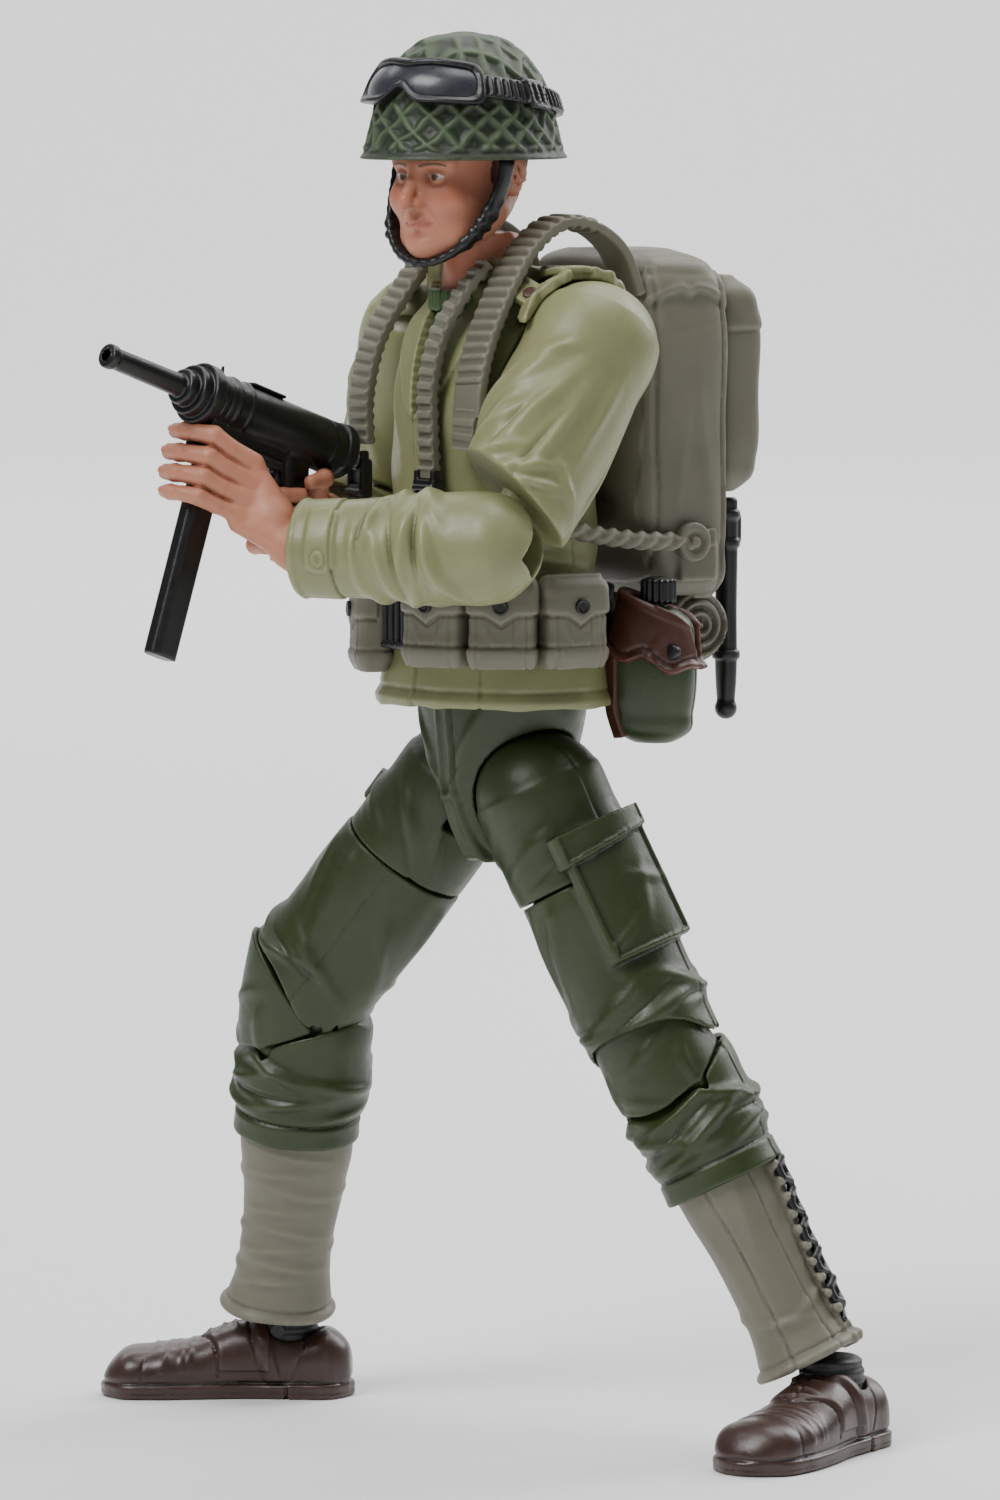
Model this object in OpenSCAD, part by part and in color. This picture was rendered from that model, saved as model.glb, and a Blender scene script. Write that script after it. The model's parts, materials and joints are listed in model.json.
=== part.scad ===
// Articulated 1:18 soldier figure, a poseable plastic figure with its kit and gun.
// Millimetres, +Z up, the figure faces -Y and its left side is +X.
// Every limb is drawn in its own frame: origin at its upper joint, -Z down the limb, -Y forward.

/* [Body] */
// Height of the hip joints above the ground
hip_height = 44.6; // [44.5:0.1:44.7]
// Distance of each hip joint from the middle
hip_offset = 5.0; // [5:0.1:5.2]
// Height of the shoulder joints
shoulder_height = 75.6; // [75.4:0.1:75.8]
// Distance of each shoulder joint from the middle
shoulder_offset = 10.0; // [9.9:0.1:10.3]
// Half the width of the chest
chest_half_width = 7.0; // [6.8:0.1:7.1]
// Half the depth of the chest
chest_half_depth = 6.4; // [6.2:0.1:6.5]

/* [Limbs] */
// Shoulder joint to elbow joint
upper_arm_length = 17.0; // [16.8:0.1:17.2]
// Elbow joint to wrist joint
forearm_length = 14.2; // [14:0.1:14.4]
// Hip joint to the upper knee pin
thigh_length = 18.6; // [18.4:0.1:18.8]
// Distance between the two knee pins
knee_link = 4.2; // [4:0.1:4.4]
// Lower knee pin to the ankle pitch pin
shin_length = 21.2; // [21:0.1:21.4]
// Ankle pitch pin to the ankle rock pin
ankle_link = 2.2; // [2.1:0.1:2.3]
// Height of the ankle rock pin above the sole
sole_height = 3.2; // [3.1:0.1:3.3]

/* [Joint fits] */
// Radial gap of a pin in its bore
pin_gap = 0.05; // [0.03:0.01:0.08]
// Gap between a ball and its socket
ball_gap = 0.2; // [0.15:0.05:0.3]
// Radius of the small hinge pins
pin_radius = 0.6; // [0.5:0.05:0.65]

/* [Stand peg hole] */
// Radius of the peg hole in each sole
peg_hole_radius = 1.5; // [1.2:0.1:1.6]
// Depth of the peg hole
peg_hole_depth = 1.6; // [1.2:0.1:1.8]

/* [Hidden] */
$fn = 32;

// Colours
trouser_green = [0.24, 0.32, 0.18];
jacket_olive = [0.59, 0.60, 0.45];
webbing_grey = [0.53, 0.51, 0.45];
helmet_green = [0.27, 0.34, 0.26];
skin_tan = [0.75, 0.52, 0.42];
shoe_brown = [0.31, 0.22, 0.19];
black = [0.06, 0.06, 0.07];

// Places on the body
hip_y = 0;
shoulder_y = 0.6;
waist_point = [0, 0, 57];
neck_point = [0, -1.6, 77.8];
head_yaw = 17;
ball_radius = 4.5;
armpit_gap = 5.8;
belt_bottom = 54.6;
belt_top = 59.1;
belt_half = [8.6, 7.3];

// Pose of each side, [left, right], in degrees
arm_swing = [38.1, -5.3];
arm_raise = [8.9, 21.2];
sharpest_elbow = 122;
elbow_twist = [-63.4, -27.2];
elbow_bend = [76.5, 121.2];
leg_swing = [-17.14, 23.99];
leg_spread = [20.1, 30.09];
thigh_twist = [29.62, 25.46];
knee_bend_upper = [0.81, 29.44];
knee_bend_lower = [0.81, 0.97];
ankle_pitch = [-7.59, 5.1];
ankle_rock = [25.54, 13.81];

// The middle of the finished figure's footprint, which becomes the origin
footprint_centre = [-0.912, -6.155, 0];

function side(s) = s > 0 ? 0 : 1;
function unit(v) = v / norm(v);
function shift(v) = [[1, 0, 0, v.x], [0, 1, 0, v.y], [0, 0, 1, v.z], [0, 0, 0, 1]];
function turn_x(a) = [[1, 0, 0, 0], [0, cos(a), -sin(a), 0], [0, sin(a), cos(a), 0], [0, 0, 0, 1]];
function turn_y(a) = [[cos(a), 0, sin(a), 0], [0, 1, 0, 0], [-sin(a), 0, cos(a), 0], [0, 0, 0, 1]];
function turn_z(a) = [[cos(a), -sin(a), 0, 0], [sin(a), cos(a), 0, 0], [0, 0, 1, 0], [0, 0, 0, 1]];
function signed_power(v, e) = sign(v) * pow(abs(v), e);

// Frames of the moving pieces
body_frame = shift(-footprint_centre);
function shoulder_frame(s) = body_frame * shift([s * shoulder_offset, shoulder_y, shoulder_height])
    * turn_x(-arm_swing[side(s)]);
function upper_arm_frame(s) = shoulder_frame(s) * turn_y(-s * arm_raise[side(s)]);
function elbow_frame(s) = upper_arm_frame(s) * shift([0, 0, -upper_arm_length])
    * turn_z(s * elbow_twist[side(s)]);
function forearm_frame(s) = elbow_frame(s) * turn_x(-elbow_bend[side(s)]);
function wrist_frame(s) = forearm_frame(s) * shift([0, 0, -forearm_length]);
function hip_frame(s) = body_frame * shift([s * hip_offset, hip_y, hip_height])
    * turn_x(-leg_swing[side(s)]);
function thigh_top_frame(s) = hip_frame(s) * turn_y(-s * leg_spread[side(s)]);
function thigh_frame(s) = thigh_top_frame(s) * turn_z(s * thigh_twist[side(s)]);
function knee_frame(s) = thigh_frame(s) * shift([0, 0, -thigh_length])
    * turn_x(knee_bend_upper[side(s)]);
function shin_frame(s) = knee_frame(s) * shift([0, 0, -knee_link]) * turn_x(knee_bend_lower[side(s)]);
function ankle_frame(s) = shin_frame(s) * shift([0, 0, -shin_length]) * turn_x(ankle_pitch[side(s)]);
function foot_frame(s) = ankle_frame(s) * shift([0, 0, -ankle_link]) * turn_y(s * ankle_rock[side(s)]);
head_frame = body_frame * shift(neck_point) * turn_z(head_yaw);
gun_origin = [-5.4, -13.7, 69.6];
gun_frame = body_frame * shift(gun_origin) * turn_z(8.5) * turn_x(-19);
magazine_frame = gun_frame * shift([0, -6.6, -1.9]);
grip_frame = gun_frame * shift([0, 0.4, -1.4]) * turn_x(18);
grip_half = [0.95, 1.35];
magazine_half = [0.75, 1.15];

// A closed skin through stations of [point, side vector, half width, half thickness];
// level keeps every ring flat instead of square to the path
module sweep(stations, sides = 14, power = 2, level = false) {
    last = len(stations) - 1;
    function tangent(i) = level ? [0, 0, sign(stations[last][0].z - stations[0][0].z)]
        : unit(stations[min(i + 1, last)][0] - stations[max(i - 1, 0)][0]);
    points = [for (i = [0:last])
        let (t = tangent(i), raw = stations[i][1], across = unit(raw - (raw * t) * t), out = cross(t, across))
        for (k = [0:sides - 1])
            let (a = 360 * (k + 0.5) / sides)
            stations[i][0] + stations[i][2] * signed_power(cos(a), 2 / power) * across
                + stations[i][3] * signed_power(sin(a), 2 / power) * out];
    walls = [for (i = [0:last - 1]) for (k = [0:sides - 1])
        let (m = (k + 1) % sides)
        [i * sides + k, (i + 1) * sides + k, (i + 1) * sides + m, i * sides + m]];
    ends = [[for (k = [0:sides - 1]) k], [for (k = [sides - 1:-1:0]) last * sides + k]];
    polyhedron(points, concat(walls, ends));
}

// An upright or limb shape through rings of [z, half width, half depth, middle x, middle y]
module stack(rings, sides = 16, power = 2) {
    sweep([for (r = rings) [[r[3], r[4], r[0]], [1, 0, 0], r[1], r[2]]], sides, power, true);
}

// A flat band along a path of points, its face turned to each point's side vector
module band(path, width, thickness) {
    sweep([for (p = path) [p[0], p[1], width / 2, thickness / 2]], 8, 6);
}

module rod_x(r, half) { rotate([0, 90, 0]) cylinder(r = r, h = 2 * half, center = true); }
module rod_y(r, half) { rotate([90, 0, 0]) cylinder(r = r, h = 2 * half, center = true); }

// ---- hubs and pegs ----------------------------------------------------------------------

tongue_radius = 1.7;
tongue_half = 1.0;
peg_radius = 1.0;

// Ball-joint hub: a peg toward the body and a tongue with a fore-and-aft pin
module side_hub(s, peg_end) {
    rod_y(tongue_radius, tongue_half);
    rod_y(pin_radius, 2.2);
    translate([s > 0 ? -peg_end : 0, 0, 0]) rotate([0, 90, 0]) cylinder(r = peg_radius, h = peg_end);
}

// The slot in a ball for its hub, swept through the angles that the limb is raised
module side_slot(s, low, high, half_width, reach) {
    rod_y(tongue_radius + ball_gap, half_width);
    for (a = [low:(high - low) / 5:high])
        rotate([0, s * a, 0]) translate([s > 0 ? -reach : 0, -half_width, -half_width])
            cube([reach, 2 * half_width, 2 * half_width]);
    rod_y(pin_radius + pin_gap, 2.4);
}

// Hinge peg: a peg up the limb and a tongue with a pin across it
module limb_peg(up, r = 1.0, tongue = 1.3, half = 0.8, pin_half = 1.9) {
    rod_x(tongue, half);
    rod_x(pin_radius, pin_half);
    cylinder(r = r, h = up);
}

// The gap in which a limb_peg swings from angle low to angle high, cut as one fan
module limb_slot(low, high, half, tongue = 1.3, reach = 6, neck = 1.0) {
    first = min(low, high);
    last = max(low, high);
    w = neck + ball_gap;
    rod_x(tongue + ball_gap, half + ball_gap);
    translate([-half - ball_gap, 0, 0]) rotate([90, 0, 90]) linear_extrude(2 * (half + ball_gap))
        polygon(concat([[w * cos(first), w * sin(first)]],
            [for (i = [0:6]) let (a = first + (last - first) * i / 6, side = w * (1 - i / 3))
                [side * cos(a) - 1.1 * reach * sin(a), side * sin(a) + 1.1 * reach * cos(a)]],
            [[-w * cos(last), -w * sin(last)]]));
}

// ---- pelvis, jacket skirt and belt --------------------------------------------------------

module pelvis_block(grow) {
    stack([[56, 5.6 + grow, 4.8 + grow, 0, 0.2], [52.2, 6.3 + grow, 5.3 + grow, 0, 0.2],
        [50.2, 6.1 + grow, 5.2 + grow, 0, 0.2], [46, 4.4 + grow, 4.8 + grow, 0, 0.2],
        [42.6, 2.2 + grow, 4.2 + grow, 0, 0.2], [39.8, 1.1 + grow, 2.8 + grow, 0, 0.2]]);
}

module pelvis() {
    color(trouser_green) multmatrix(body_frame) difference() {
        union() {
            difference() {
                pelvis_block(0);
                for (s = [-1, 1]) translate([s * hip_offset, hip_y, hip_height])
                    sphere(r = ball_radius + ball_gap, $fn = 48);
            }
            translate([0, hip_y, hip_height]) rod_x(1.7, hip_offset - 2.1);
        }
        for (s = [-1, 1]) translate([s * (hip_offset / 2 + 0.2), hip_y, hip_height])
            rod_x(peg_radius + pin_gap, hip_offset / 2);
        translate(waist_point) limb_slot(-14, 14, 1.2, 1.7, 4, 1.3);
        translate(waist_point) rod_x(pin_radius + pin_gap, 2.6);
    }
}

module waist_peg() {
    color(black) multmatrix(body_frame) translate(waist_point) limb_peg(6, 1.3, 1.7, 1.2, 2.4);
}

module jacket_skirt() {
    color(jacket_olive) multmatrix(body_frame) difference() {
        stack([[54.5, 8.3, 7.1, 0, 0], [53.6, 8.5, 7.2, 0, 0], [51.2, 9.2, 7.8, 0, 0]], 24, 2.2);
        pelvis_block(0.12);
    }
}

module ellipse_ring(outer, inner, low, high) {
    difference() {
        stack([[high, outer.x, outer.y, 0, 0], [low, outer.x, outer.y, 0, 0]], 28, 2.1);
        stack([[high + 1, inner.x, inner.y, 0, 0], [low - 1, inner.x, inner.y, 0, 0]], 28, 2.1);
    }
}

module belt() {
    color(black) multmatrix(body_frame) {
        ellipse_ring(belt_half, belt_half - [0.7, 0.7], belt_bottom, belt_top);
        difference() {
            stack([[belt_bottom + 0.6, 8.0, 6.7, 0, 0], [belt_bottom, 8.0, 6.7, 0, 0]], 28, 2.1);
            pelvis_block(0.12);
        }
    }
}

// Places something of the belt's height on the belt, facing outward at an angle from the front
module on_belt(angle, gap = 0) {
    translate([(belt_half.x + gap) * sin(angle), -(belt_half.y + gap) * cos(angle), 0])
        rotate([0, 0, atan2(belt_half.y * sin(angle), belt_half.x * cos(angle))]) children();
}

module belt_buckle() {
    color(black) multmatrix(body_frame) on_belt(-3, 0.08) {
        translate([-2, -0.7, belt_bottom + 0.3]) cube([4, 0.65, belt_top - belt_bottom - 0.6]);
        for (i = [0:4]) translate([-1.7 + 0.75 * i, -1.0, belt_bottom + 0.5])
            cube([0.4, 0.4, belt_top - belt_bottom - 1]);
    }
}

// Each pouch as [angle round the belt, drop]; the two under the right forearm sit lower
pouch_places = [[23, 0], [52, 0], [84, 0], [-30, 0.8], [-112, 1.6]];

module ammo_pouches() {
    color(webbing_grey) multmatrix(body_frame) for (p = pouch_places) on_belt(p[0], 1.35)
        translate([0, 0, -p[1]]) stack([[60.0, 2.05, 0.85, 0, 0], [59.5, 2.2, 1.1, 0, 0], [57, 2.25, 1.2, 0, 0],
            [54.6, 2.2, 1.15, 0, 0], [54.1, 2.1, 1.0, 0, 0]], 16, 5);
}

module pouch_snaps() {
    color(black) multmatrix(body_frame) for (p = pouch_places) on_belt(p[0], 2.6)
        translate([0, 0, 58.4 - p[1]]) rotate([90, 0, 0]) cylinder(r = 0.55, h = 0.45);
}

canteen_place = [9.9, 6.9, 0];
canteen_angle = 128;
canteen_rings = [[57.4, 1.7, 1.2], [56.8, 2.5, 1.7], [55, 2.9, 2.0], [50, 2.75, 1.9], [48.9, 2.3, 1.5],
    [48.5, 1.6, 1.0]];

module at_canteen() {
    multmatrix(body_frame) translate(canteen_place) rotate([0, 0, canteen_angle]) children();
}

module canteen() {
    color(helmet_green) at_canteen() {
        stack([for (r = canteen_rings) [r[0], r[1], r[2], 0, 0]], 16, 2.6);
        translate([0, 0, 57.3]) cylinder(r = 0.8, h = 0.8);
        translate([0, 0, 57.9]) cylinder(r = 1.1, h = 1.6);
    }
}

module canteen_cover() {
    color(shoe_brown) at_canteen() difference() {
        stack([[58.0, 2.0, 1.5, 0, 0], [56.9, 3.0, 2.2, 0, 0], [55, 3.35, 2.45, 0, 0],
            [52.6, 3.35, 2.45, 0, 0]], 16, 2.6);
        stack([for (r = canteen_rings) [r[0] + (r[0] > 57 ? 0.05 : 0), r[1] + 0.06, r[2] + 0.06, 0, 0]], 16, 2.6);
        translate([0, 0, 57.2]) cylinder(r = 1.2, h = 4);
        translate([0, -3, 50]) cube([2.2, 3, 4], center = true);
    }
}

// ---- torso ------------------------------------------------------------------------------

module chest(grow) {
    w = chest_half_width + grow;
    d = chest_half_depth + grow;
    stack([[59.5, w * 0.94, d * 0.94, 0, -0.1], [60.5, w, d * 0.97, 0, -0.1], [66, w, d, 0, -0.4],
        [71, w, d, 0, -0.5], [74.5, w * 1.06, d * 0.93, 0, -0.2], [77, w * 1.02, d * 0.78, 0, 0],
        [78.6, w * 0.74, d * 0.64, 0, 0], [79.4, 3.9 + grow, 3.5 + grow, 0, -1.0]], 20, 2.4);
}

module collar_notch(grow) {
    translate([0, -3, 0]) rotate([90, 0, 0]) linear_extrude(height = 8)
        polygon([[-0.25 - grow, 71.5 - 2 * grow], [0.25 + grow, 71.5 - 2 * grow], [2.5 + grow, 81], [-2.5 - grow, 81]]);
}

module neck_socket(grow) {
    translate(neck_point + [0, 0, -2.4]) cylinder(r = 3.5 + grow, h = 8);
}

// Room for the sleeve under the shoulder as the arm swings
module armpit_cut(s) {
    translate([s * (armpit_gap + 4 - shoulder_offset), 0, -5]) cube([8, 18, 10], center = true);
    translate([s * (armpit_gap + 4 - shoulder_offset), -4.5, -1]) cube([8, 9, 10], center = true);
}

module jacket() {
    color(jacket_olive) multmatrix(body_frame) difference() {
        chest(0);
        for (s = [-1, 1]) translate([s * shoulder_offset, shoulder_y, shoulder_height]) {
            sphere(r = ball_radius + ball_gap, $fn = 48);
            translate([-s * 4, 0, 0]) rod_x(peg_radius + pin_gap, 4.3);
            armpit_cut(s);
        }
        collar_notch(0);
        neck_socket(0.05);
        translate(neck_point) limb_slot(-25, 25, 1.0, 1.4, 1, 1.0);
        translate(neck_point) rod_x(pin_radius + pin_gap, 2.2);
        translate(waist_point) cylinder(r = 1.3 + pin_gap, h = 6.4);
    }
}

module undershirt() {
    color(trouser_green) multmatrix(body_frame) {
        intersection() {
            chest(-0.25);
            collar_notch(-0.06);
            translate([0, -8.1, 75]) cube([6, 6, 12], center = true);
        }
        translate(neck_point + [0, 0, 1.0]) difference() {
            cylinder(r = 3.5, h = 1.3);
            translate([0, 0, -0.5]) cylinder(r = 3.1, h = 3);
            translate([0, -4, 0]) cube([7, 3, 4], center = true);
        }
    }
}

module epaulettes() {
    color(jacket_olive) multmatrix(body_frame) for (s = [-1, 1])
        band([[[s * 4.4, 0.6, 80.0], [0, 1, 0]], [[s * 6.4, 0.6, 80.1], [0, 1, 0]],
            [[s * 7.6, 0.6, 80.7], [0, 1, 0]], [[s * 8.8, 0.6, 81.1], [0, 1, 0]]], 2.8, 0.6);
}

// The strap that runs from the pack over the shoulder and down the chest
function shoulder_strap(s, far) = [
    [[s * 5.6, 6.4, 80.2], [1, 0, 0]], [[s * 5.6, 4.6, 82.4], [1, 0, 0]],
    [[s * 5.6, 2.2, 83.4], [1, 0, 0]], [[s * 5.6, 0.2, 83.0], [1, 0, 0]],
    [[s * 5.5, -1.6, 81.6], [1, 0, 0]], [[s * 5.4, -3.6 - far * 0.6, 78.8], [1, 0, 0]],
    [[s * (5.3 + far * 0.5), -5.7 - far, 75.4], [1, 0, 0]],
    [[s * (5.3 + far * 0.7), -6.9 - far * 0.7, 72], [1, 0, 0]],
    [[s * (5.3 + far * 0.7), -7.5, 68.4], [1, 0, 0]]];

module left_harness() {
    color(webbing_grey) multmatrix(body_frame) {
        band(shoulder_strap(1, 0), 3.0, 0.7);
        band([[[3.2, -4.3, 80.2], [1, 0, 0.3]], [[2.3, -5.9, 77.6], [1, 0, 0]], [[1.6, -7.2, 74.5], [1, 0, 0]],
            [[1.4, -7.8, 71], [1, 0, 0]], [[1.4, -7.8, 67.6], [1, 0, 0]]], 1.7, 0.6);
    }
}

module right_harness() {
    color(webbing_grey) multmatrix(body_frame)
        band(concat(shoulder_strap(-1, 1), [[[-6.0, -7.6, 67.5], [1, 0, 0]]]), 2.0, 0.7);
}

module harness_buckles() {
    color(black) multmatrix(body_frame) for (p = [[1.4, -7.8, 65.9], [-6.0, -7.6, 65.9]])
        translate(p) {
            cube([2.2, 1.3, 2.9], center = true);
            translate([0, -0.75, 0]) cube([1.2, 0.4, 1.5], center = true);
        }
}

module side_straps() {
    color(webbing_grey) multmatrix(body_frame) for (s = [-1, 1]) {
        sweep([for (p = [[7.75, -2.4, 63.6], [8.1, 0.5, 62.9], [8.35, 3.5, 62.2], [8.45, 7, 61.9], [8.45, 10.3, 61.6]])
            [[s * p.x, p.y, p.z], [0, 0, 1], 0.5, 0.5]], 8);
        translate([s * 8.45, 10.6, 61.6]) rod_x(1.1, 0.5);
    }
}

module pack_body() {
    color(webbing_grey) multmatrix(body_frame)
        stack([[58.2, 7.0, 2.9, 0, 11.6], [59.0, 7.6, 3.4, 0, 11.5], [60.4, 7.7, 3.7, 0, 11.2],
            [61.4, 7.8, 4.2, 0, 10.7], [70, 7.85, 4.25, 0, 10.7],
            [78, 7.8, 4.2, 0, 10.7], [80, 7.4, 4.0, 0, 10.5], [81, 6.6, 3.4, 0, 10.2], [81.4, 5.2, 2.4, 0, 10]],
            20, 5);
}

module pack_pocket() {
    color(webbing_grey) multmatrix(body_frame)
        stack([[65.2, 5.4, 0.8, 0, 16.2], [66, 5.9, 1.3, 0, 16.4], [72, 6.1, 1.45, 0, 16.5],
            [78.6, 6.0, 1.3, 0, 16.4], [79.6, 5.4, 0.8, 0, 16.2]], 16, 5);
}

module pack_roll() {
    color(webbing_grey) multmatrix(body_frame) translate([0, 13.1, 55.75]) rod_x(2.35, 5.4);
}

module scabbard() {
    color(black) multmatrix(body_frame) translate([4.3, 16.25, 0]) {
        translate([0, 0, 50.2]) cylinder(r = 0.7, h = 14.2);
        translate([0, 0, 50.2]) sphere(r = 0.7);
    }
}

// ---- head and kit -------------------------------------------------------------------------

module neck() {
    color(skin_tan) multmatrix(body_frame) translate(neck_point) {
        limb_peg(5, 1.0, 1.4, 1.0, 2.0);
        difference() {
            stack([[5.0, 2.4, 2.5, 0, 0], [3, 2.5, 2.6, 0, 0], [1.2, 2.7, 2.7, 0, 0], [0.7, 2.4, 2.4, 0, 0]], 20);
            cylinder(r = 0.9, h = 5.2);
        }
        translate([0, 0, 4.6]) cylinder(r = 1.2, h = 3.4);
    }
}

head_rings = [[4.0, 1.7, 1.5, 0, -4.9], [4.9, 2.8, 3.1, 0, -3.7], [6.4, 3.5, 4.3, 0, -2.9], [8.8, 3.95, 4.9, 0, -2.4],
    [11.5, 4.1, 5.2, 0, -2.1], [14, 3.8, 4.9, 0, -2.0], [15.6, 2.9, 3.9, 0, -2.0], [16.4, 1.2, 1.8, 0, -2.0]];

module head() {
    color(skin_tan) multmatrix(head_frame) difference() {
        stack(head_rings, 18);
        translate([0, 0, 2]) cylinder(r = 3.0, h = 3.2);
        translate([0, 0, 3]) cylinder(r = 1.2 + pin_gap, h = 5.3);
    }
}

helmet_rings = [[10.6, 6.5, 7.7], [11.3, 6.2, 7.2], [12.6, 5.9, 6.8], [14.6, 5.4, 6.3], [16.6, 4.5, 5.4],
    [18.2, 3.1, 3.9], [19.1, 1.3, 1.8]];

module helmet_shell(grow) {
    stack([for (r = helmet_rings) [r[0], r[1] + grow, r[2] + grow, 0, -1.9]], 20);
}

module helmet() {
    color(helmet_green) multmatrix(head_frame) difference() {
        helmet_shell(0);
        stack([for (r = head_rings) [r[0], r[1] + 0.12, r[2] + 0.12, 0, r[4]]], 18);
        stack([[13.6, 4.3, 5.4, 0, -2.0], [12.2, 5.1, 6.1, 0, -2.0], [10.2, 5.6, 6.6, 0, -2.0]], 20);
    }
}

module goggle_band(low, high, near, far) {
    difference() {
        stack([[high, 5.75 + far, 6.75 + far, 0, -1.9], [low, 6.2 + far, 7.2 + far, 0, -1.9]], 28);
        stack([[high + 0.01, 5.75 + near, 6.75 + near, 0, -1.9], [low - 0.01, 6.2 + near, 7.2 + near, 0, -1.9]], 28);
    }
}

module goggles_frame() {
    color(black) multmatrix(head_frame) difference() {
        intersection() {
            goggle_band(12.4, 15.9, 0, 1.1);
            translate([0, -7, 14]) cube([9.6, 8, 6], center = true);
        }
        helmet_shell(0.06);
    }
}

module goggles_lens() {
    color([0.28, 0.29, 0.31]) multmatrix(head_frame) intersection() {
        goggle_band(12.9, 15.4, 1.2, 1.4);
        translate([0, -8, 14]) cube([8.2, 4, 6], center = true);
    }
}

module goggles_strap() {
    color(black) multmatrix(head_frame) difference() {
        goggle_band(13.2, 14.8, 0.1, 0.7);
        helmet_shell(0.06);
        translate([0, -7.1, 14]) cube([9.9, 8, 6], center = true);
        translate([0, -8, 14]) cube([20, 8, 6], center = true);
    }
}

module chin_strap() {
    color(black) multmatrix(head_frame)
        sweep([for (a = [0:15:180])
            [[4.45 * cos(a), -3.6 - 2.6 * sin(a), 10.3 - 7.1 * pow(sin(a), 0.7)], [0, 1, 0.5 * sin(a)], 0.6, 0.25]], 8, 4);
}

// ---- arms -------------------------------------------------------------------------------

// Clears the sleeve's lower end for the forearm, up to the sharpest bend of the elbow
module forearm_clearance() {
    rotate([90 - sharpest_elbow, 0, 0]) translate([-8, -12, -16]) cube([16, 24, 20.1]);
    sphere(r = 3.85);
}

module upper_arm(s) {
    color(jacket_olive) multmatrix(upper_arm_frame(s)) difference() {
        union() {
            sphere(r = ball_radius, $fn = 48);
            stack([[0.5, 3.9, 4.3, 0, 0], [-3, 3.9, 4.5, 0, 0], [-8, 3.9, 4.5, 0, 0], [-12, 3.8, 4.3, 0, 0],
                [-15.5, 3.7, 4.0, 0, 0]], 18, 2.1);
        }
        side_slot(s, -6, 92, 1.25, 6);
        translate([0, 0, -upper_arm_length]) cylinder(r = 1.0 + pin_gap, h = 11);
        translate([0, 0, -upper_arm_length]) rotate([0, 0, s * elbow_twist[side(s)]]) forearm_clearance();
    }
}

module elbow_peg(s) {
    color(jacket_olive) multmatrix(elbow_frame(s)) limb_peg(10, 1.0, 1.6, 0.9, 2.6);
}

module forearm(s) {
    color(jacket_olive) multmatrix(forearm_frame(s)) difference() {
        union() {
            sphere(r = 3.6);
            stack([[0, 3.4, 3.5, 0, 0], [-3, 3.5, 3.6, 0, 0], [-8, 3.2, 3.4, 0, 0], [-11.6, 2.9, 3.1, 0, 0],
                [-13.2, 2.9, 3.1, 0, 0]], 16, 2.1);
        }
        limb_slot(-8, 126, 0.9, 1.6, 6, 1.0);
        rod_x(pin_radius + pin_gap, 2.8);
        translate([0, 0, -forearm_length]) cylinder(r = 0.8 + pin_gap, h = 6);
        translate([0, 0, -14]) cylinder(r = 2.3, h = 2.2);
    }
}

wrist_twist = [38, 16];
wrist_bend = [-39, 13];
function wrist_peg_frame(s) = wrist_frame(s) * turn_z(s * wrist_twist[side(s)]);
function hand_frame(s) = wrist_peg_frame(s) * turn_x(wrist_bend[side(s)]);

module wrist_peg(s) {
    color(skin_tan) multmatrix(wrist_peg_frame(s)) limb_peg(5.5, 0.8, 1.0, 0.6, 1.3);
}

// A finger or thumb: a thin skin along points [x, y, z], thinning to its tip
module digit(path, r) {
    last = len(path) - 1;
    sweep([for (i = [0:last]) [path[i], [0, 0.001, 1], r * (i == last ? 0.55 : 1), r * (i == last ? 0.55 : 1)]], 8);
}

// The left hand wraps the magazine from its outer side, drawn in the magazine's frame
module left_grip() {
    sweep([[[5.5, 4.1, -6.6], [0, 0, 1], 1.5, 1.35], [[4.2, 3.1, -5.2], [0, 0, 1], 2.1, 1.2],
        [[2.9, 1.9, -4.1], [0, 0, 1], 2.6, 1.0], [[2.0, 0.6, -3.6], [0, 0, 1], 2.5, 0.75]], 12, 2.6);
    for (f = [[-1.9, -0.9, 0], [-3.1, -2.4, 0.1], [-4.3, -3.8, 0], [-5.2, -5.1, -0.3]])
        digit([[2.3, 1.2, f[0]], [1.85, -0.5, (f[0] + f[1]) / 2], [1.25, -1.7, f[1]], [0.1, -2.1, f[1]],
            [-1.2, -2.15, f[1]], [-1.9 - f[2], -2.1, f[1]]], 0.6);
    digit([[4.0, 3.4, -4.6], [2.6, 3.0, -3.0], [1.2, 2.5, -2.2], [-0.2, 2.15, -1.9], [-1.3, 2.0, -1.9]], 0.62);
}

// The right hand holds the pistol grip, drawn in the grip's frame
module right_grip() {
    sweep([[[-2.2, 5.2, -4.4], [0, 0, 1], 1.4, 1.4], [[-2.1, 3.4, -4.2], [0, 0, 1], 2.0, 1.2],
        [[-2.05, 1.2, -4.4], [0, 0, 1], 2.4, 0.8], [[-2.0, -0.4, -4.6], [0, 0, 1], 2.3, 0.7]], 12, 2.6);
    for (z = [-2.8, -4.0, -5.2, -6.3])
        digit([[-2.0, 0.4, z], [-1.9, -1.0, z], [-1.3, -1.9, z], [0, -2.15, z], [1.3, -1.8, z], [1.7, -0.8, z],
            [1.7, 0.1, z]], 0.58);
    digit([[-1.5, 3.9, -3.4], [-0.4, 2.9, -2.2], [0.9, 2.3, -1.7], [1.8, 1.3, -1.7], [1.9, 0.0, -1.9]], 0.6);
}

module hand(s) {
    color(skin_tan) difference() {
        union() {
            multmatrix(s > 0 ? magazine_frame : grip_frame) { if (s > 0) left_grip(); else right_grip(); }
            multmatrix(hand_frame(s)) sphere(r = 1.7);
        }
        multmatrix(hand_frame(s)) {
            limb_slot(-30, 30, 0.7, 1.0, 3, 0.8);
            rod_x(pin_radius + pin_gap, 1.4);
        }
    }
}

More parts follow.
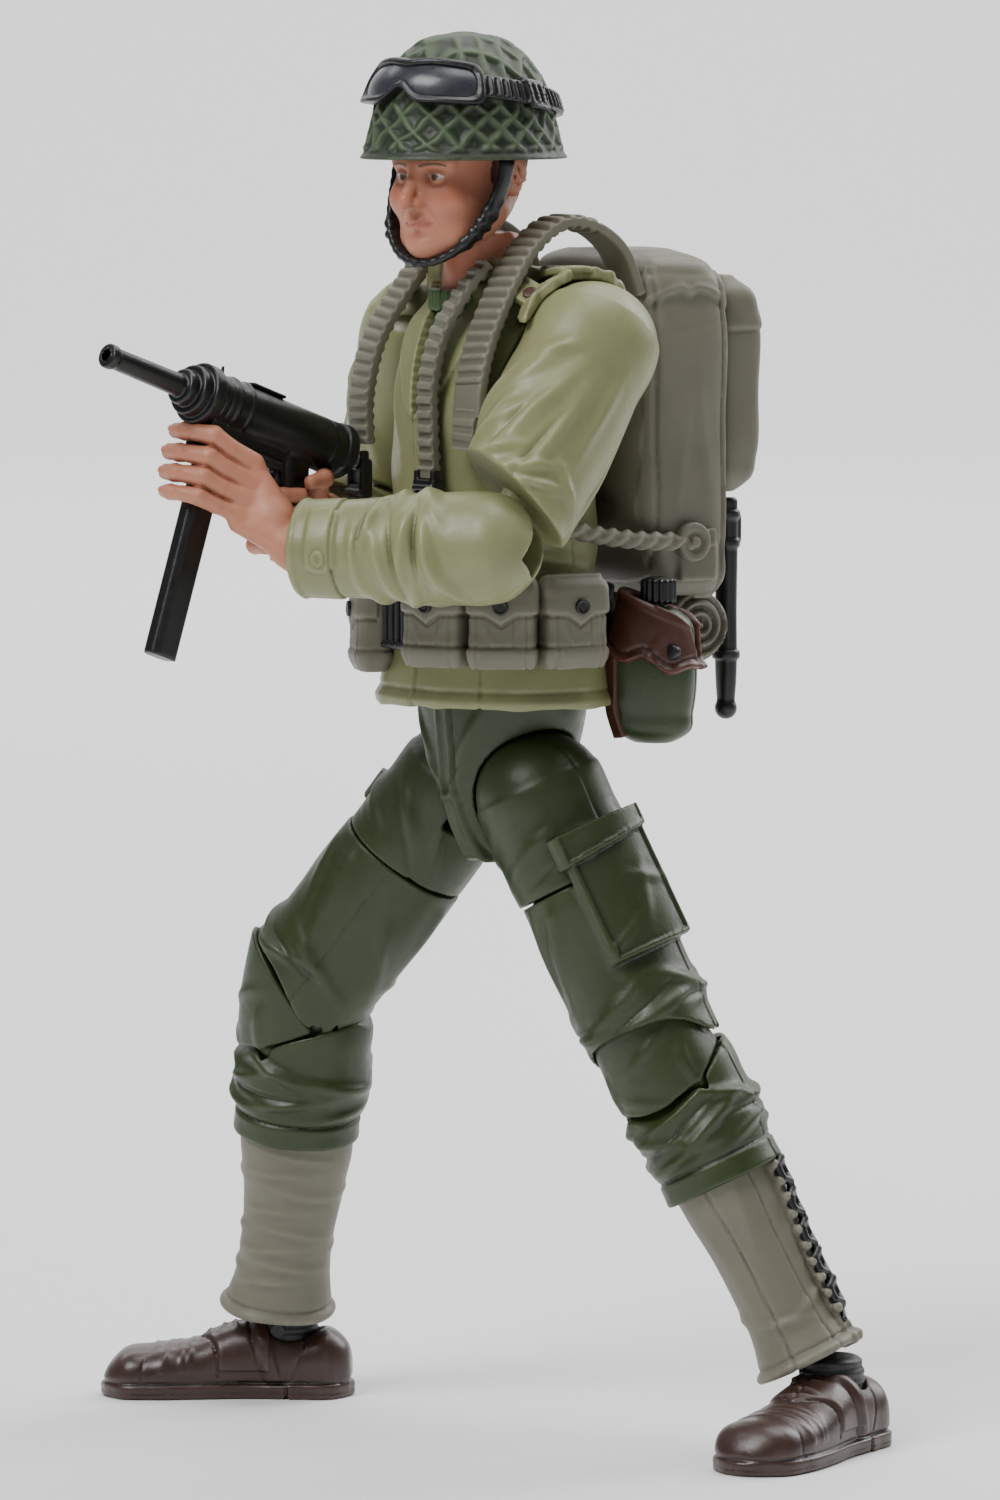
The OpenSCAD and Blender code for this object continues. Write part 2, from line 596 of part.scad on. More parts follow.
// ---- legs -------------------------------------------------------------------------------

module thigh_top(s) {
    color(trouser_green) multmatrix(thigh_top_frame(s)) difference() {
        union() {
            sphere(r = ball_radius, $fn = 48);
            stack([[0, 4.3, 4.3, 0, 0], [-3.4, 4.35, 4.6, 0, 0], [-6.4, 4.3, 4.7, 0, 0]], 20, 2.1);
        }
        side_slot(s, -12, 60, 1.9, 6);
        translate([0, 0, -7]) cylinder(r = 1.4 + pin_gap, h = 4.4);
    }
}

module knee_clearance(sign_up) {
    hull() for (a = [0:15:75]) rotate([a * sign_up, 0, 0]) translate([0, 0, -sign_up * knee_link / 2]) rod_x(3.65, 4.6);
}

module thigh(s) {
    color(trouser_green) multmatrix(thigh_frame(s)) {
        difference() {
            union() {
                difference() {
                    union() {
                        stack([[-6.6, 4.25, 4.7, 0, 0], [-10, 4.3, 4.7, 0, 0], [-14, 4.0, 4.3, 0, 0], [-18.2, 3.6, 3.9, 0, 0]],
                            20, 2.1);
                        // Cargo pocket on the outer side
                        translate([s * 3.6, 0.6, -11.6]) stack([[4.4, 0.9, 2.9, 0, 0], [3.6, 1.3, 3.1, 0, 0],
                            [-3.6, 1.3, 3.1, 0, 0], [-4.4, 0.9, 2.9, 0, 0]], 12, 5);
                    }
                    translate([0, 0, -thigh_length]) knee_clearance(1);
                }
                translate([0, 0, -thigh_length]) rod_x(1.5, 1.2);
                translate([-1.2, -1.3, -thigh_length]) cube([2.4, 2.6, 5]);
            }
            translate([0, 0, -thigh_length]) rod_x(pin_radius + pin_gap, 2);
        }
        translate([0, 0, -7]) cylinder(r = 1.4, h = 4);
    }
}

module knee(s) {
    color(trouser_green) multmatrix(knee_frame(s)) {
        difference() {
            translate([0, 0, -knee_link / 2]) rod_x(3.45, 3.5);
            limb_slot(-4, -80, 1.2, 1.5, 6, 1.3);
            translate([0, 0, -knee_link]) mirror([0, 0, 1]) limb_slot(-4, -80, 1.2, 1.5, 6, 1.3);
        }
        rod_x(pin_radius, 2.6);
        translate([0, 0, -knee_link]) rod_x(pin_radius, 2.6);
    }
}

gaiter_top = -5.6;
shin_core = 2.1;

module shin(s) {
    color(trouser_green) multmatrix(shin_frame(s)) difference() {
        union() {
            difference() {
                stack([[0.4, 3.6, 3.8, 0, 0], [-2.4, 4.2, 4.5, 0, 0.2], [-4.6, 4.1, 4.4, 0, 0.2], [-5.6, 3.9, 4.1, 0, 0.1]],
                    20, 2.1);
                knee_clearance(-1);
            }
            rod_x(1.5, 1.2);
            translate([-1.2, -1.3, -5]) cube([2.4, 2.6, 5]);
            translate([0, 0, -18.6]) cylinder(r = shin_core, h = 14);
            translate([0, 0, -shin_length]) cylinder(r = 1.65, h = 3);
            translate([0, 0, -shin_length]) rod_x(1.1, 1.6);
        }
        rod_x(pin_radius + pin_gap, 2);
        translate([0, 0, -shin_length]) mirror([0, 0, 1]) limb_slot(-32, 32, 0.8, 1.1, 4, 0.9);
        translate([0, 0, -shin_length]) rod_x(pin_radius - 0.1 + pin_gap, 3);
    }
}

module gaiter(s) {
    color(webbing_grey) multmatrix(shin_frame(s)) difference() {
        stack([[gaiter_top - 0.05, 3.6, 3.75, 0, 0.1], [-9, 3.5, 3.7, 0, 0.1], [-14, 3.3, 3.5, 0, 0.1],
            [-17.2, 3.3, 3.4, 0, 0], [-19.2, 3.6, 3.8, 0, 0]], 18, 2.1);
        translate([0, 0, -shin_length - 1]) cylinder(r = shin_core + 0.03, h = shin_length);
    }
}

module ankle_peg(s) {
    color(black) multmatrix(ankle_frame(s)) {
        rod_x(1.1, 0.8);
        rod_x(pin_radius - 0.1, 1.9);
        translate([-0.8, -0.8, -ankle_link]) cube([1.6, 1.6, ankle_link]);
        translate([0, 0, -ankle_link]) rod_y(1.1, 0.8);
        translate([0, 0, -ankle_link]) rod_y(pin_radius - 0.1, 1.9);
    }
}

module shoe(s) {
    color(shoe_brown) multmatrix(foot_frame(s)) difference() {
        union() {
            sweep([[[0, 4.6, -1.4], [1, 0, 0], 1.5, 1.2], [[0, 4.0, -1.0], [1, 0, 0], 2.3, 1.9],
                [[0, 1.5, -0.8], [1, 0, 0], 2.75, 2.2], [[0, -2.5, -0.5], [1, 0, 0], 2.6, 2.4],
                [[0, -6.5, -1.0], [1, 0, 0], 2.8, 1.8], [[0, -9.6, -1.2], [1, 0, 0], 2.7, 1.5],
                [[0, -11.4, -1.5], [1, 0, 0], 1.9, 1.1]], 16, 2.3);
            translate([0, 0, -sole_height]) linear_extrude(height = 1.0) sole_outline();
        }
        translate([0, 0, -0.5]) cylinder(r1 = 2.0, r2 = 3.2, h = 3);
        for (a = [-32:16:32]) rotate([0, a, 0]) translate([-1.1, -1.05, 0]) cube([2.2, 2.1, 5]);
        rod_y(1.1 + ball_gap, 1.05);
        rod_y(pin_radius - 0.1 + pin_gap, 2.1);
        translate([0, -5.6, -sole_height - 1]) cylinder(r = peg_hole_radius, h = peg_hole_depth + 1);
    }
}

module sole_outline() {
    hull() {
        translate([0, 2.1]) circle(r = 2.75);
        translate([0, -8.95]) circle(r = 3.1);
    }
}

// ---- gun --------------------------------------------------------------------------------

module gun_receiver() {
    color(black) multmatrix(gun_frame) {
        translate([0, 4.5, 0]) rotate([90, 0, 0]) cylinder(r = 1.85, h = 12.6);
        translate([0, -3.6, -1.6]) cube([1.9, 6.6, 2.8], center = true);
    }
    color(black) multmatrix(grip_frame)
        stack([[0.6, grip_half.x, grip_half.y, 0, 0], [-7.6, grip_half.x, grip_half.y, 0, 0]], 12, 3);
}

module gun_barrel() {
    color(black) multmatrix(gun_frame) translate([0, -8.12, 0]) rotate([90, 0, 0]) {
        cylinder(r = 2.15, h = 0.9);
        cylinder(r = 1.7, h = 1.5);
        cylinder(r = 0.75, h = 9.6);
    }
}

module gun_magazine() {
    color(black) multmatrix(magazine_frame) 
        translate([-magazine_half.x, -magazine_half.y, -16])
            cube([2 * magazine_half.x, 2 * magazine_half.y, 14.9]);
}

pelvis();
jacket_skirt();
belt();
belt_buckle();
ammo_pouches();
pouch_snaps();
canteen();
canteen_cover();
waist_peg();
jacket();
undershirt();
epaulettes();
left_harness();
right_harness();
harness_buckles();
side_straps();
pack_body();
pack_pocket();
pack_roll();
scabbard();
neck();
head();
helmet();
goggles_frame();
goggles_lens();
goggles_strap();
chin_strap();
gun_receiver();
gun_barrel();
gun_magazine();
color(black) multmatrix(shoulder_frame(1)) side_hub(1, 8);  // left_shoulder_hub
upper_arm(1);  // left_upper_arm
elbow_peg(1);  // left_elbow_peg
forearm(1);  // left_forearm
wrist_peg(1);  // left_wrist_peg
hand(1);  // left_hand
color(black) multmatrix(shoulder_frame(-1)) side_hub(-1, 8);  // right_shoulder_hub
upper_arm(-1);  // right_upper_arm
elbow_peg(-1);  // right_elbow_peg
forearm(-1);  // right_forearm
wrist_peg(-1);  // right_wrist_peg
hand(-1);  // right_hand
color(black) multmatrix(hip_frame(1)) side_hub(1, 4.6);  // left_hip_hub
thigh_top(1);  // left_thigh_top
thigh(1);  // left_thigh
knee(1);  // left_knee
shin(1);  // left_shin
gaiter(1);  // left_gaiter
ankle_peg(1);  // left_ankle_peg
shoe(1);  // left_shoe
color(black) multmatrix(hip_frame(-1)) side_hub(-1, 4.6);  // right_hip_hub
thigh_top(-1);  // right_thigh_top
thigh(-1);  // right_thigh
knee(-1);  // right_knee
shin(-1);  // right_shin
gaiter(-1);  // right_gaiter
ankle_peg(-1);  // right_ankle_peg
shoe(-1);  // right_shoe
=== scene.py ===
"""Looks of a poseable 1:18 soldier figure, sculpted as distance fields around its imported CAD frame.

Lengths are millimetres and the meshes are made in metres, but the stage at the end is in metres.
Each sculpted piece is drawn in the frame of its own limb, which comes from the record's joints.
In most make_ functions b is the block of sample points, p its points, d the distance to the
surface and s the side, 1 for left and -1 for right."""
import functools
import json
import math

import bpy
import numpy as np
import openvdb
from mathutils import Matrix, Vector


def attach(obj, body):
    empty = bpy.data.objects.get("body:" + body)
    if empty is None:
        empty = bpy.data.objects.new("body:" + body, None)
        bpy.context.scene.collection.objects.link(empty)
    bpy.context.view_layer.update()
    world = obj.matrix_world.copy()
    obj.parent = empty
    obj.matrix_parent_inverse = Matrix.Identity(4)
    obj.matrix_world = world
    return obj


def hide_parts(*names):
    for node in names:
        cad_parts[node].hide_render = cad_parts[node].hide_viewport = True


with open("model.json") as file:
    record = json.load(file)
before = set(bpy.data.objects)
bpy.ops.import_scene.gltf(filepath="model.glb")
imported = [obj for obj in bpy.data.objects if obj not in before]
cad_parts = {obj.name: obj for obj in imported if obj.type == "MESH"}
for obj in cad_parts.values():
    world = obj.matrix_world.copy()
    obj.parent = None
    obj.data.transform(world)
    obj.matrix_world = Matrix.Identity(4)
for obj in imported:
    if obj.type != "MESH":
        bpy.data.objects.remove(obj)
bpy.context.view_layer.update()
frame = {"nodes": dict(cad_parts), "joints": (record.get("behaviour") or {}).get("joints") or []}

# ---- frames ------------------------------------------------------------------------------------

JOINT = {j["name"]: j for j in frame["joints"]}
SIDE = {"left": 1, "right": -1}
MM = 0.001
WAIST_Z = 57  # the bend axis's height above the floor in the frame BODY


def place(joint):
    return np.array(JOINT[joint]["pos_m"]) * 1000


def axis(joint, sign=1):
    a = np.array(JOINT[joint]["axis"], float)
    return sign * a / np.linalg.norm(a)


def basis(origin, x=None, y=None, z=None):
    """A 4 by 4 frame from an origin and two of its three axes."""
    if x is None:
        x = np.cross(y, z)
    if y is None:
        y = np.cross(z, x)
    if z is None:
        z = np.cross(x, y)
    m = np.eye(4)
    for i, v in enumerate((x, y, z)):
        m[:3, i] = v / np.linalg.norm(v)
    m[:3, 3] = origin
    return m


def shift(x, y, z):
    m = np.eye(4)
    m[:3, 3] = (x, y, z)
    return m


def turn(which, degrees):
    c, s = math.cos(math.radians(degrees)), math.sin(math.radians(degrees))
    i, j = {"x": (1, 2), "y": (2, 0), "z": (0, 1)}[which]
    m = np.eye(4)
    m[i, i] = m[j, j] = c
    m[i, j], m[j, i] = -s, s
    return m


BODY = shift(*(place("waist_bend") - (0, 0, WAIST_Z)))
HEAD = shift(*place("neck_nod")) @ turn("z", 17)
GUN = BODY @ shift(-5.4, -13.7, 69.6) @ turn("z", 8.5) @ turn("x", -19)
GRIP = GUN @ shift(0, 0.4, -1.4) @ turn("x", 18)
MAGAZINE = GUN @ shift(0, -6.6, -1.9)


def limb_frames(side):
    s = SIDE[side]

    def at(joint):
        return place(f"{side}_{joint}")

    def along(joint, sign=1):
        return axis(f"{side}_{joint}", sign)

    return {
        "upper_arm": basis(at("arm_raise"), y=along("arm_raise", -s), z=along("elbow_turn", -s)),
        "forearm": basis(at("elbow_bend"), x=along("elbow_bend", -1), z=along("wrist_turn", -s)),
        "thigh_top": basis(at("hip_spread"), y=along("hip_spread", -s), z=along("thigh_turn", s)),
        "thigh": basis(at("thigh_turn"), x=along("knee_upper"), z=along("thigh_turn", s)),
        "knee": basis(at("knee_upper"), x=along("knee_upper"),
                      z=at("knee_upper") - at("knee_lower")),
        "shin": basis(at("knee_lower"), x=along("knee_lower"),
                      z=at("knee_lower") - at("ankle_pitch")),
        "foot": basis(at("ankle_rock"), y=along("ankle_rock", s), z=np.array((0, 0, 1.0))),
    }


LIMB = {side: limb_frames(side) for side in SIDE}

# ---- distance fields -----------------------------------------------------------------------------


class Block:
    """A box of evenly spaced sample points in one piece's frame."""

    def __init__(self, low, high, step):
        self.low, self.step = np.array(low, float), step
        n = np.ceil((np.array(high) - self.low) / step).astype(int) + 1
        line = [(self.low[i] + step * np.arange(n[i])).astype(np.float32) for i in range(3)]
        self.x, self.y, self.z = line[0][:, None, None], line[1][None, :, None], line[2][None,
                None, :]
        self.p = (self.x, self.y, self.z)
        self.shape = tuple(n)

    def full(self, d):
        return np.array(np.broadcast_to(d, self.shape), np.float32)

    def near(self, d, width):
        """The points closer to the surface than width, as an index and three flat lists."""
        i = np.nonzero(abs(d) < width)
        return i, (self.x[i[0], 0, 0], self.y[0, i[1], 0], self.z[0, 0, i[2]])

    def raise_by(self, d, width, relief):
        """Moves the surface outward by relief(points) wherever it is closer than width."""
        i, p = self.near(d, width)
        d[i] -= relief(*p)
        return d

    def sample(self, d, p):
        g = (p - self.low) / self.step
        top = np.array(d.shape) - 1.001
        g = np.clip(g, 0, top)
        i = g.astype(int)
        t = g - i
        out = 0
        for k in range(8):
            o = (k & 1, k >> 1 & 1, k >> 2 & 1)
            w = np.prod([t[:, a] if o[a] else 1 - t[:, a] for a in range(3)], axis=0)
            out = out + w * d[i[:, 0] + o[0], i[:, 1] + o[1], i[:, 2] + o[2]]
        return out


def join(a, b, k=0.0):
    if k <= 0:
        return np.minimum(a, b)
    h = np.clip(0.5 + 0.5 * (b - a) / k, 0, 1)
    return b + (a - b) * h - k * h * (1 - h)


def meet(a, b, k=0.0):
    return -join(-a, -b, k)


def cut(a, b, k=0.0):
    return -join(-a, b, k)


def local(p, m):
    """Points seen from the frame m."""
    inv = np.linalg.inv(m)
    return tuple(inv[i, 0] * p[0] + inv[i, 1] * p[1] + inv[i, 2] * p[2] + inv[i, 3]
                 for i in range(3))


def ball(p, c, r):
    return np.sqrt((p[0] - c[0]) ** 2 + (p[1] - c[1]) ** 2 + (p[2] - c[2]) ** 2) - r


def egg(p, c, r):
    k = np.sqrt(((p[0] - c[0]) / r[0]) ** 2 + ((p[1] - c[1]) / r[1]) ** 2
                + ((p[2] - c[2]) / r[2]) ** 2)
    return (k - 1) * min(r)


def rod(p, a, b, ra, rb=None):
    """A round-ended rod from a to b, its radius running from ra to rb."""
    rb = ra if rb is None else rb
    a, b = np.array(a, float), np.array(b, float)
    ab = b - a
    t = ((p[0] - a[0]) * ab[0] + (p[1] - a[1]) * ab[1] + (p[2] - a[2]) * ab[2]) / max(ab @ ab, 1e-9)
    t = np.clip(t, 0, 1)
    return np.sqrt((p[0] - a[0] - t * ab[0]) ** 2 + (p[1] - a[1] - t * ab[1]) ** 2
                   + (p[2] - a[2] - t * ab[2]) ** 2) - (ra + (rb - ra) * t)


def union(shapes, k=0.0):
    return functools.reduce(lambda a, b: join(a, b, k), shapes)


def chain(p, points, radii, k=0.0):
    """Rods end to end, with a radius at each point."""
    return union([rod(p, *points[i:i + 2], *radii[i:i + 2]) for i in range(len(points) - 1)], k)


def brick(p, c, half, r=0.2):
    q = [abs(p[i] - c[i]) - half[i] + r for i in range(3)]
    out = np.sqrt(sum(np.maximum(v, 0) ** 2 for v in q))
    return out + np.minimum(np.maximum(np.maximum(q[0], q[1]), q[2]), 0) - r


def drum(p, c, along, r, half, edge=0.1):
    """A cylinder with rounded edges, along axis 0, 1 or 2."""
    i, j = [k for k in range(3) if k != along]
    a = np.sqrt((p[i] - c[i]) ** 2 + (p[j] - c[j]) ** 2) - r + edge
    b = abs(p[along] - c[along]) - half + edge
    return (np.minimum(np.maximum(a, b), 0)
            + np.sqrt(np.maximum(a, 0) ** 2 + np.maximum(b, 0) ** 2) - edge)


def curve(t, at, value):
    """A smooth curve through (at, value), evaluated at t."""
    at, value = np.array(at, float), np.array(value, float)
    slope = np.gradient(value, at)
    t = np.clip(t, at[0], at[-1])
    i = np.clip(np.searchsorted(at, t, side="right") - 1, 0, len(at) - 2)
    w = at[i + 1] - at[i]
    u = (t - at[i]) / w
    return ((1 + 2 * u) * (1 - u) ** 2 * value[i] + u * (1 - u) ** 2 * w * slope[i]
            + u * u * (3 - 2 * u) * value[i + 1]
            + u * u * (u - 1) * w * slope[i + 1]).astype(np.float32)


def loft(p, rings, power=2.1, edge=0.5, z=None):
    """Superellipse rings [z, half width, half depth, middle x, middle y], capped at both ends.

    A ring that leaves out its middle has it at 0, 0."""
    r = np.array([ring + [0] * (5 - len(ring)) for ring in sorted(rings)], float)
    z = p[2] if z is None else z
    a, b, cx, cy = (curve(z, r[:, 0], r[:, i]) for i in range(1, 5))
    dx, dy = p[0] - cx, p[1] - cy
    reach = np.sqrt(dx * dx + dy * dy) + 1e-4
    f = (abs(dx / a) ** power + abs(dy / b) ** power) ** (1 / power) + 1e-4
    return meet(reach - reach / f, np.maximum(z - r[-1, 0], r[0, 0] - z), edge)


def bump(u, v, u0, v0, angle, long, wide, height):
    """A long soft ridge on an unrolled surface; a negative height makes a furrow."""
    c, s = math.cos(math.radians(angle)), math.sin(math.radians(angle))
    a, b = (u - u0) * c + (v - v0) * s, (v - v0) * c - (u - u0) * s
    return height * np.exp(-(a / long) ** 2 - (b / wide) ** 2)


def ridge(v, wide, height):
    """A straight welt where v is near zero."""
    return height * np.exp(-(v / wide) ** 2)


def groove(v, wide, deep):
    """A seam line: negative where v is near zero."""
    return ridge(v, wide, -deep)


def ramp(v, width):
    """A soft step from 0 to 1 as v passes zero."""
    return 0.5 + 0.5 * np.tanh(v / (2 * width))


def wrap(a):
    return (a + math.pi) % (2 * math.pi) - math.pi


def creases(u, z, rows, radius=None, gain=1.0):
    """The sum of bumps given as rows (u0, z0, angle, long, wide, height).

    A radius closes the unrolled surface round a limb."""
    total = 0
    for u0, z0, angle, long, wide, height in rows:
        v = u - u0 if radius is None else wrap((u - u0) / radius) * radius
        total = total + bump(v, z, 0, z0, angle, long, wide, height * gain)
    return total


def seam_round(th, at, radius, wide=0.09, deep=0.12):
    """A seam down a limb at the angle at."""
    return groove(wrap(th - at) * radius, wide, deep)


def ripple(x, y, z, scale, seed=0):
    """Smooth unevenness between -1 and 1, from a few crossing waves."""
    waves, spread = 6, 3.2
    r = np.random.RandomState(seed)
    total = 0
    for _ in range(waves):
        k = r.normal(size=3)
        k = k / np.linalg.norm(k) * scale * r.uniform(0.6, 1.5)
        total = total + np.sin(k[0] * x + k[1] * y + k[2] * z + r.uniform(0, 6.28))
    return total / spread


# ---- meshes ------------------------------------------------------------------------------------


# Gains for the painted shade in hollows and the painted highlight on edges; SHADE_STEPS samples
# occlusion outward from each vertex and adds it as painted shade.
HOLLOW_GAIN, EDGE_GAIN, EDGE_FLOOR = 3.2, 2.6, 0.1
SHADE_STEPS, SHADE_FLOOR = ((0.35, 0.9), (0.9, 0.5)), 0.12  # reach outward and weight
BAND = 2.0  # the farthest distance kept in a grid


def relief_marks(v, q, block=None, d=None):
    """How hollow and how edge-like each vertex is: hollows get painted shade along with dark paint,
    edges get painted highlight along with rubbed paint.
    """
    n = len(v)
    e = np.concatenate([q[:, [i, (i + 1) % q.shape[1]]] for i in range(q.shape[1])])
    a, b = np.concatenate([e[:, 0], e[:, 1]]), np.concatenate([e[:, 1], e[:, 0]])
    count = np.maximum(np.bincount(a, minlength=n), 1)

    def spread(x):
        return np.bincount(a, weights=x[b], minlength=n) / count

    fn = np.cross(v[q[:, 2]] - v[q[:, 0]], v[q[:, -1]] - v[q[:, 1]])
    normal = np.stack([np.bincount(q.ravel(), weights=np.repeat(fn[:, i], q.shape[1]), minlength=n)
                       for i in range(3)], 1)
    normal /= np.linalg.norm(normal, axis=1)[:, None] + 1e-9
    soft = np.stack([spread(v[:, i]) for i in range(3)], 1)
    soft = np.stack([spread(soft[:, i]) for i in range(3)], 1)
    length = np.linalg.norm(v[e[:, 0]] - v[e[:, 1]], axis=1).mean()
    bend = ((soft - v) * normal).sum(1) / length
    bend = spread(spread(bend))
    # Concave spots get the hollow value, darkened in the materials as painted shade and dark paint;
    # convex spots get the edge value, lightened as painted highlight and rubbed paint.
    hollow = np.clip(bend * HOLLOW_GAIN, 0, 1)
    edge = np.clip(-bend * EDGE_GAIN - EDGE_FLOOR, 0, 1)
    if block is not None:
        # Occlusion sampled outward along the normal adds painted shade where nearby surfaces close
        # in.
        for reach, weight in SHADE_STEPS:
            gap = (reach - block.sample(d, v + normal * reach)) / reach
            hollow = hollow + weight * np.clip(gap - SHADE_FLOOR, 0, 1)
    return np.clip(hollow, 0, 1).astype(np.float32), edge.astype(np.float32)


def make_mesh(name, v, q, m, body, material, replaces=(), marks=None, paint=None):
    world = (v @ m[:3, :3].T + m[:3, 3]) * MM
    mesh = bpy.data.meshes.new(name)
    mesh.vertices.add(len(v))
    mesh.vertices.foreach_set("co", world.astype(np.float32).ravel())
    mesh.loops.add(q.size)
    mesh.loops.foreach_set("vertex_index", q.astype(np.int32).ravel())
    mesh.polygons.add(len(q))
    mesh.polygons.foreach_set("loop_start", np.arange(0, q.size, q.shape[1], dtype=np.int32))
    mesh.update(calc_edges=True)
    # The hollow and edge attributes carry painted shade and painted highlight, along with dark paint
    # and rubbed paint, to the materials.
    hollow, edge = marks if marks is not None else relief_marks(v, q)
    for label, value in (("hollow", hollow), ("edge", edge)):
        mesh.attributes.new(label, "FLOAT", "POINT").data.foreach_set("value", value)
    if paint is not None:
        for label, value in paint(v).items():
            mesh.attributes.new(label, "FLOAT", "POINT").data.foreach_set(
                "value", np.clip(value, 0, 1).astype(np.float32))
    mesh.materials.append(material)
    obj = bpy.data.objects.new(name, mesh)
    bpy.context.collection.objects.link(obj)
    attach(obj, body)
    if replaces:
        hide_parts(*replaces)
    return obj


def skin(name, block, d, m, body, material, replaces=(), paint=None):
    """Turns a distance field into a smooth mesh that rides on a body."""
    d = block.full(d)
    grid = openvdb.FloatGrid(BAND)
    grid.copyFromArray(np.clip(d, -BAND, BAND))
    points, quads = grid.convertToQuads(0.0)
    v = block.low + points.astype(float) * block.step
    marks = relief_marks(v, quads, block, d)
    return make_mesh(name, v, quads, m, body, material, replaces, marks, paint)


def limb_skin(side, part, limb, block, d, material):
    """The sculpt of one CAD part of a limb, in that limb's frame and on its body."""
    return skin(f"{side}_{part}_sculpt", block, d, LIMB[side][limb], f"{side}_{limb}", material,
                [f"{side}_{part}"])


def smooth_path(points, count):
    """Points on a smooth curve through the given ones, the same number between each pair."""
    p = np.array(points, float)
    t = np.linspace(0, len(p) - 1, count)
    return np.stack([curve(t, np.arange(len(p)), p[:, i]) for i in range(p.shape[1])],
                    1).astype(float)


def tube(path, across, profile, taper=None):
    """Sweeps a closed profile of (across, out) points along a path.

    across gives the band's width direction at each point; taper(i, fraction, length) returns the
    scale of width and thickness there. Returns vertices and quads."""
    n, m = len(path), len(profile)
    step = np.gradient(path, axis=0)
    tangent = step / np.linalg.norm(step, axis=1)[:, None]
    across = across - (across * tangent).sum(1)[:, None] * tangent
    across /= np.linalg.norm(across, axis=1)[:, None]
    out = np.cross(tangent, across)
    run = np.concatenate([[0], np.cumsum(np.linalg.norm(np.diff(path, axis=0), axis=1))])
    v = np.empty((n, m, 3))
    for i in range(n):
        prof = profile if taper is None else taper(run[i], run[-1], profile)
        v[i] = path[i] + prof[:, :1] * across[i] + prof[:, 1:] * out[i]
    idx = np.arange(n * m).reshape(n, m)
    nxt = np.roll(idx, -1, axis=1)
    q = np.stack([idx[:-1], idx[1:], nxt[1:], nxt[:-1]], -1).reshape(-1, 4)
    v = v.reshape(-1, 3)
    caps = []
    for ring, flip in ((idx[0], False), (idx[-1], True)):
        centre = len(v)
        v = np.vstack([v, v[ring].mean(0)])
        k = len(ring)
        for j in range(0, k, 2):
            quad = [centre, ring[j], ring[(j + 1) % k], ring[(j + 2) % k]]
            caps.append(quad[::-1] if flip else quad)
    q = np.vstack([q, np.array(caps)])
    fn = np.cross(v[q[:, 2]] - v[q[:, 0]], v[q[:, 3]] - v[q[:, 1]])
    if (fn * (v[q].mean(1) - v.mean(0))).sum() < 0:
        q = q[:, ::-1]
    return v, q


def flat_profile(width, thick, count=28, power=5):
    a = (np.arange(count) + 0.5) / count * 2 * math.pi
    c, s = np.cos(a), np.sin(a)
    e = 2 / power
    return np.stack([np.sign(c) * abs(c) ** e * width / 2, np.sign(s) * abs(s) ** e * thick / 2], 1)

# ---- materials ---------------------------------------------------------------------------------


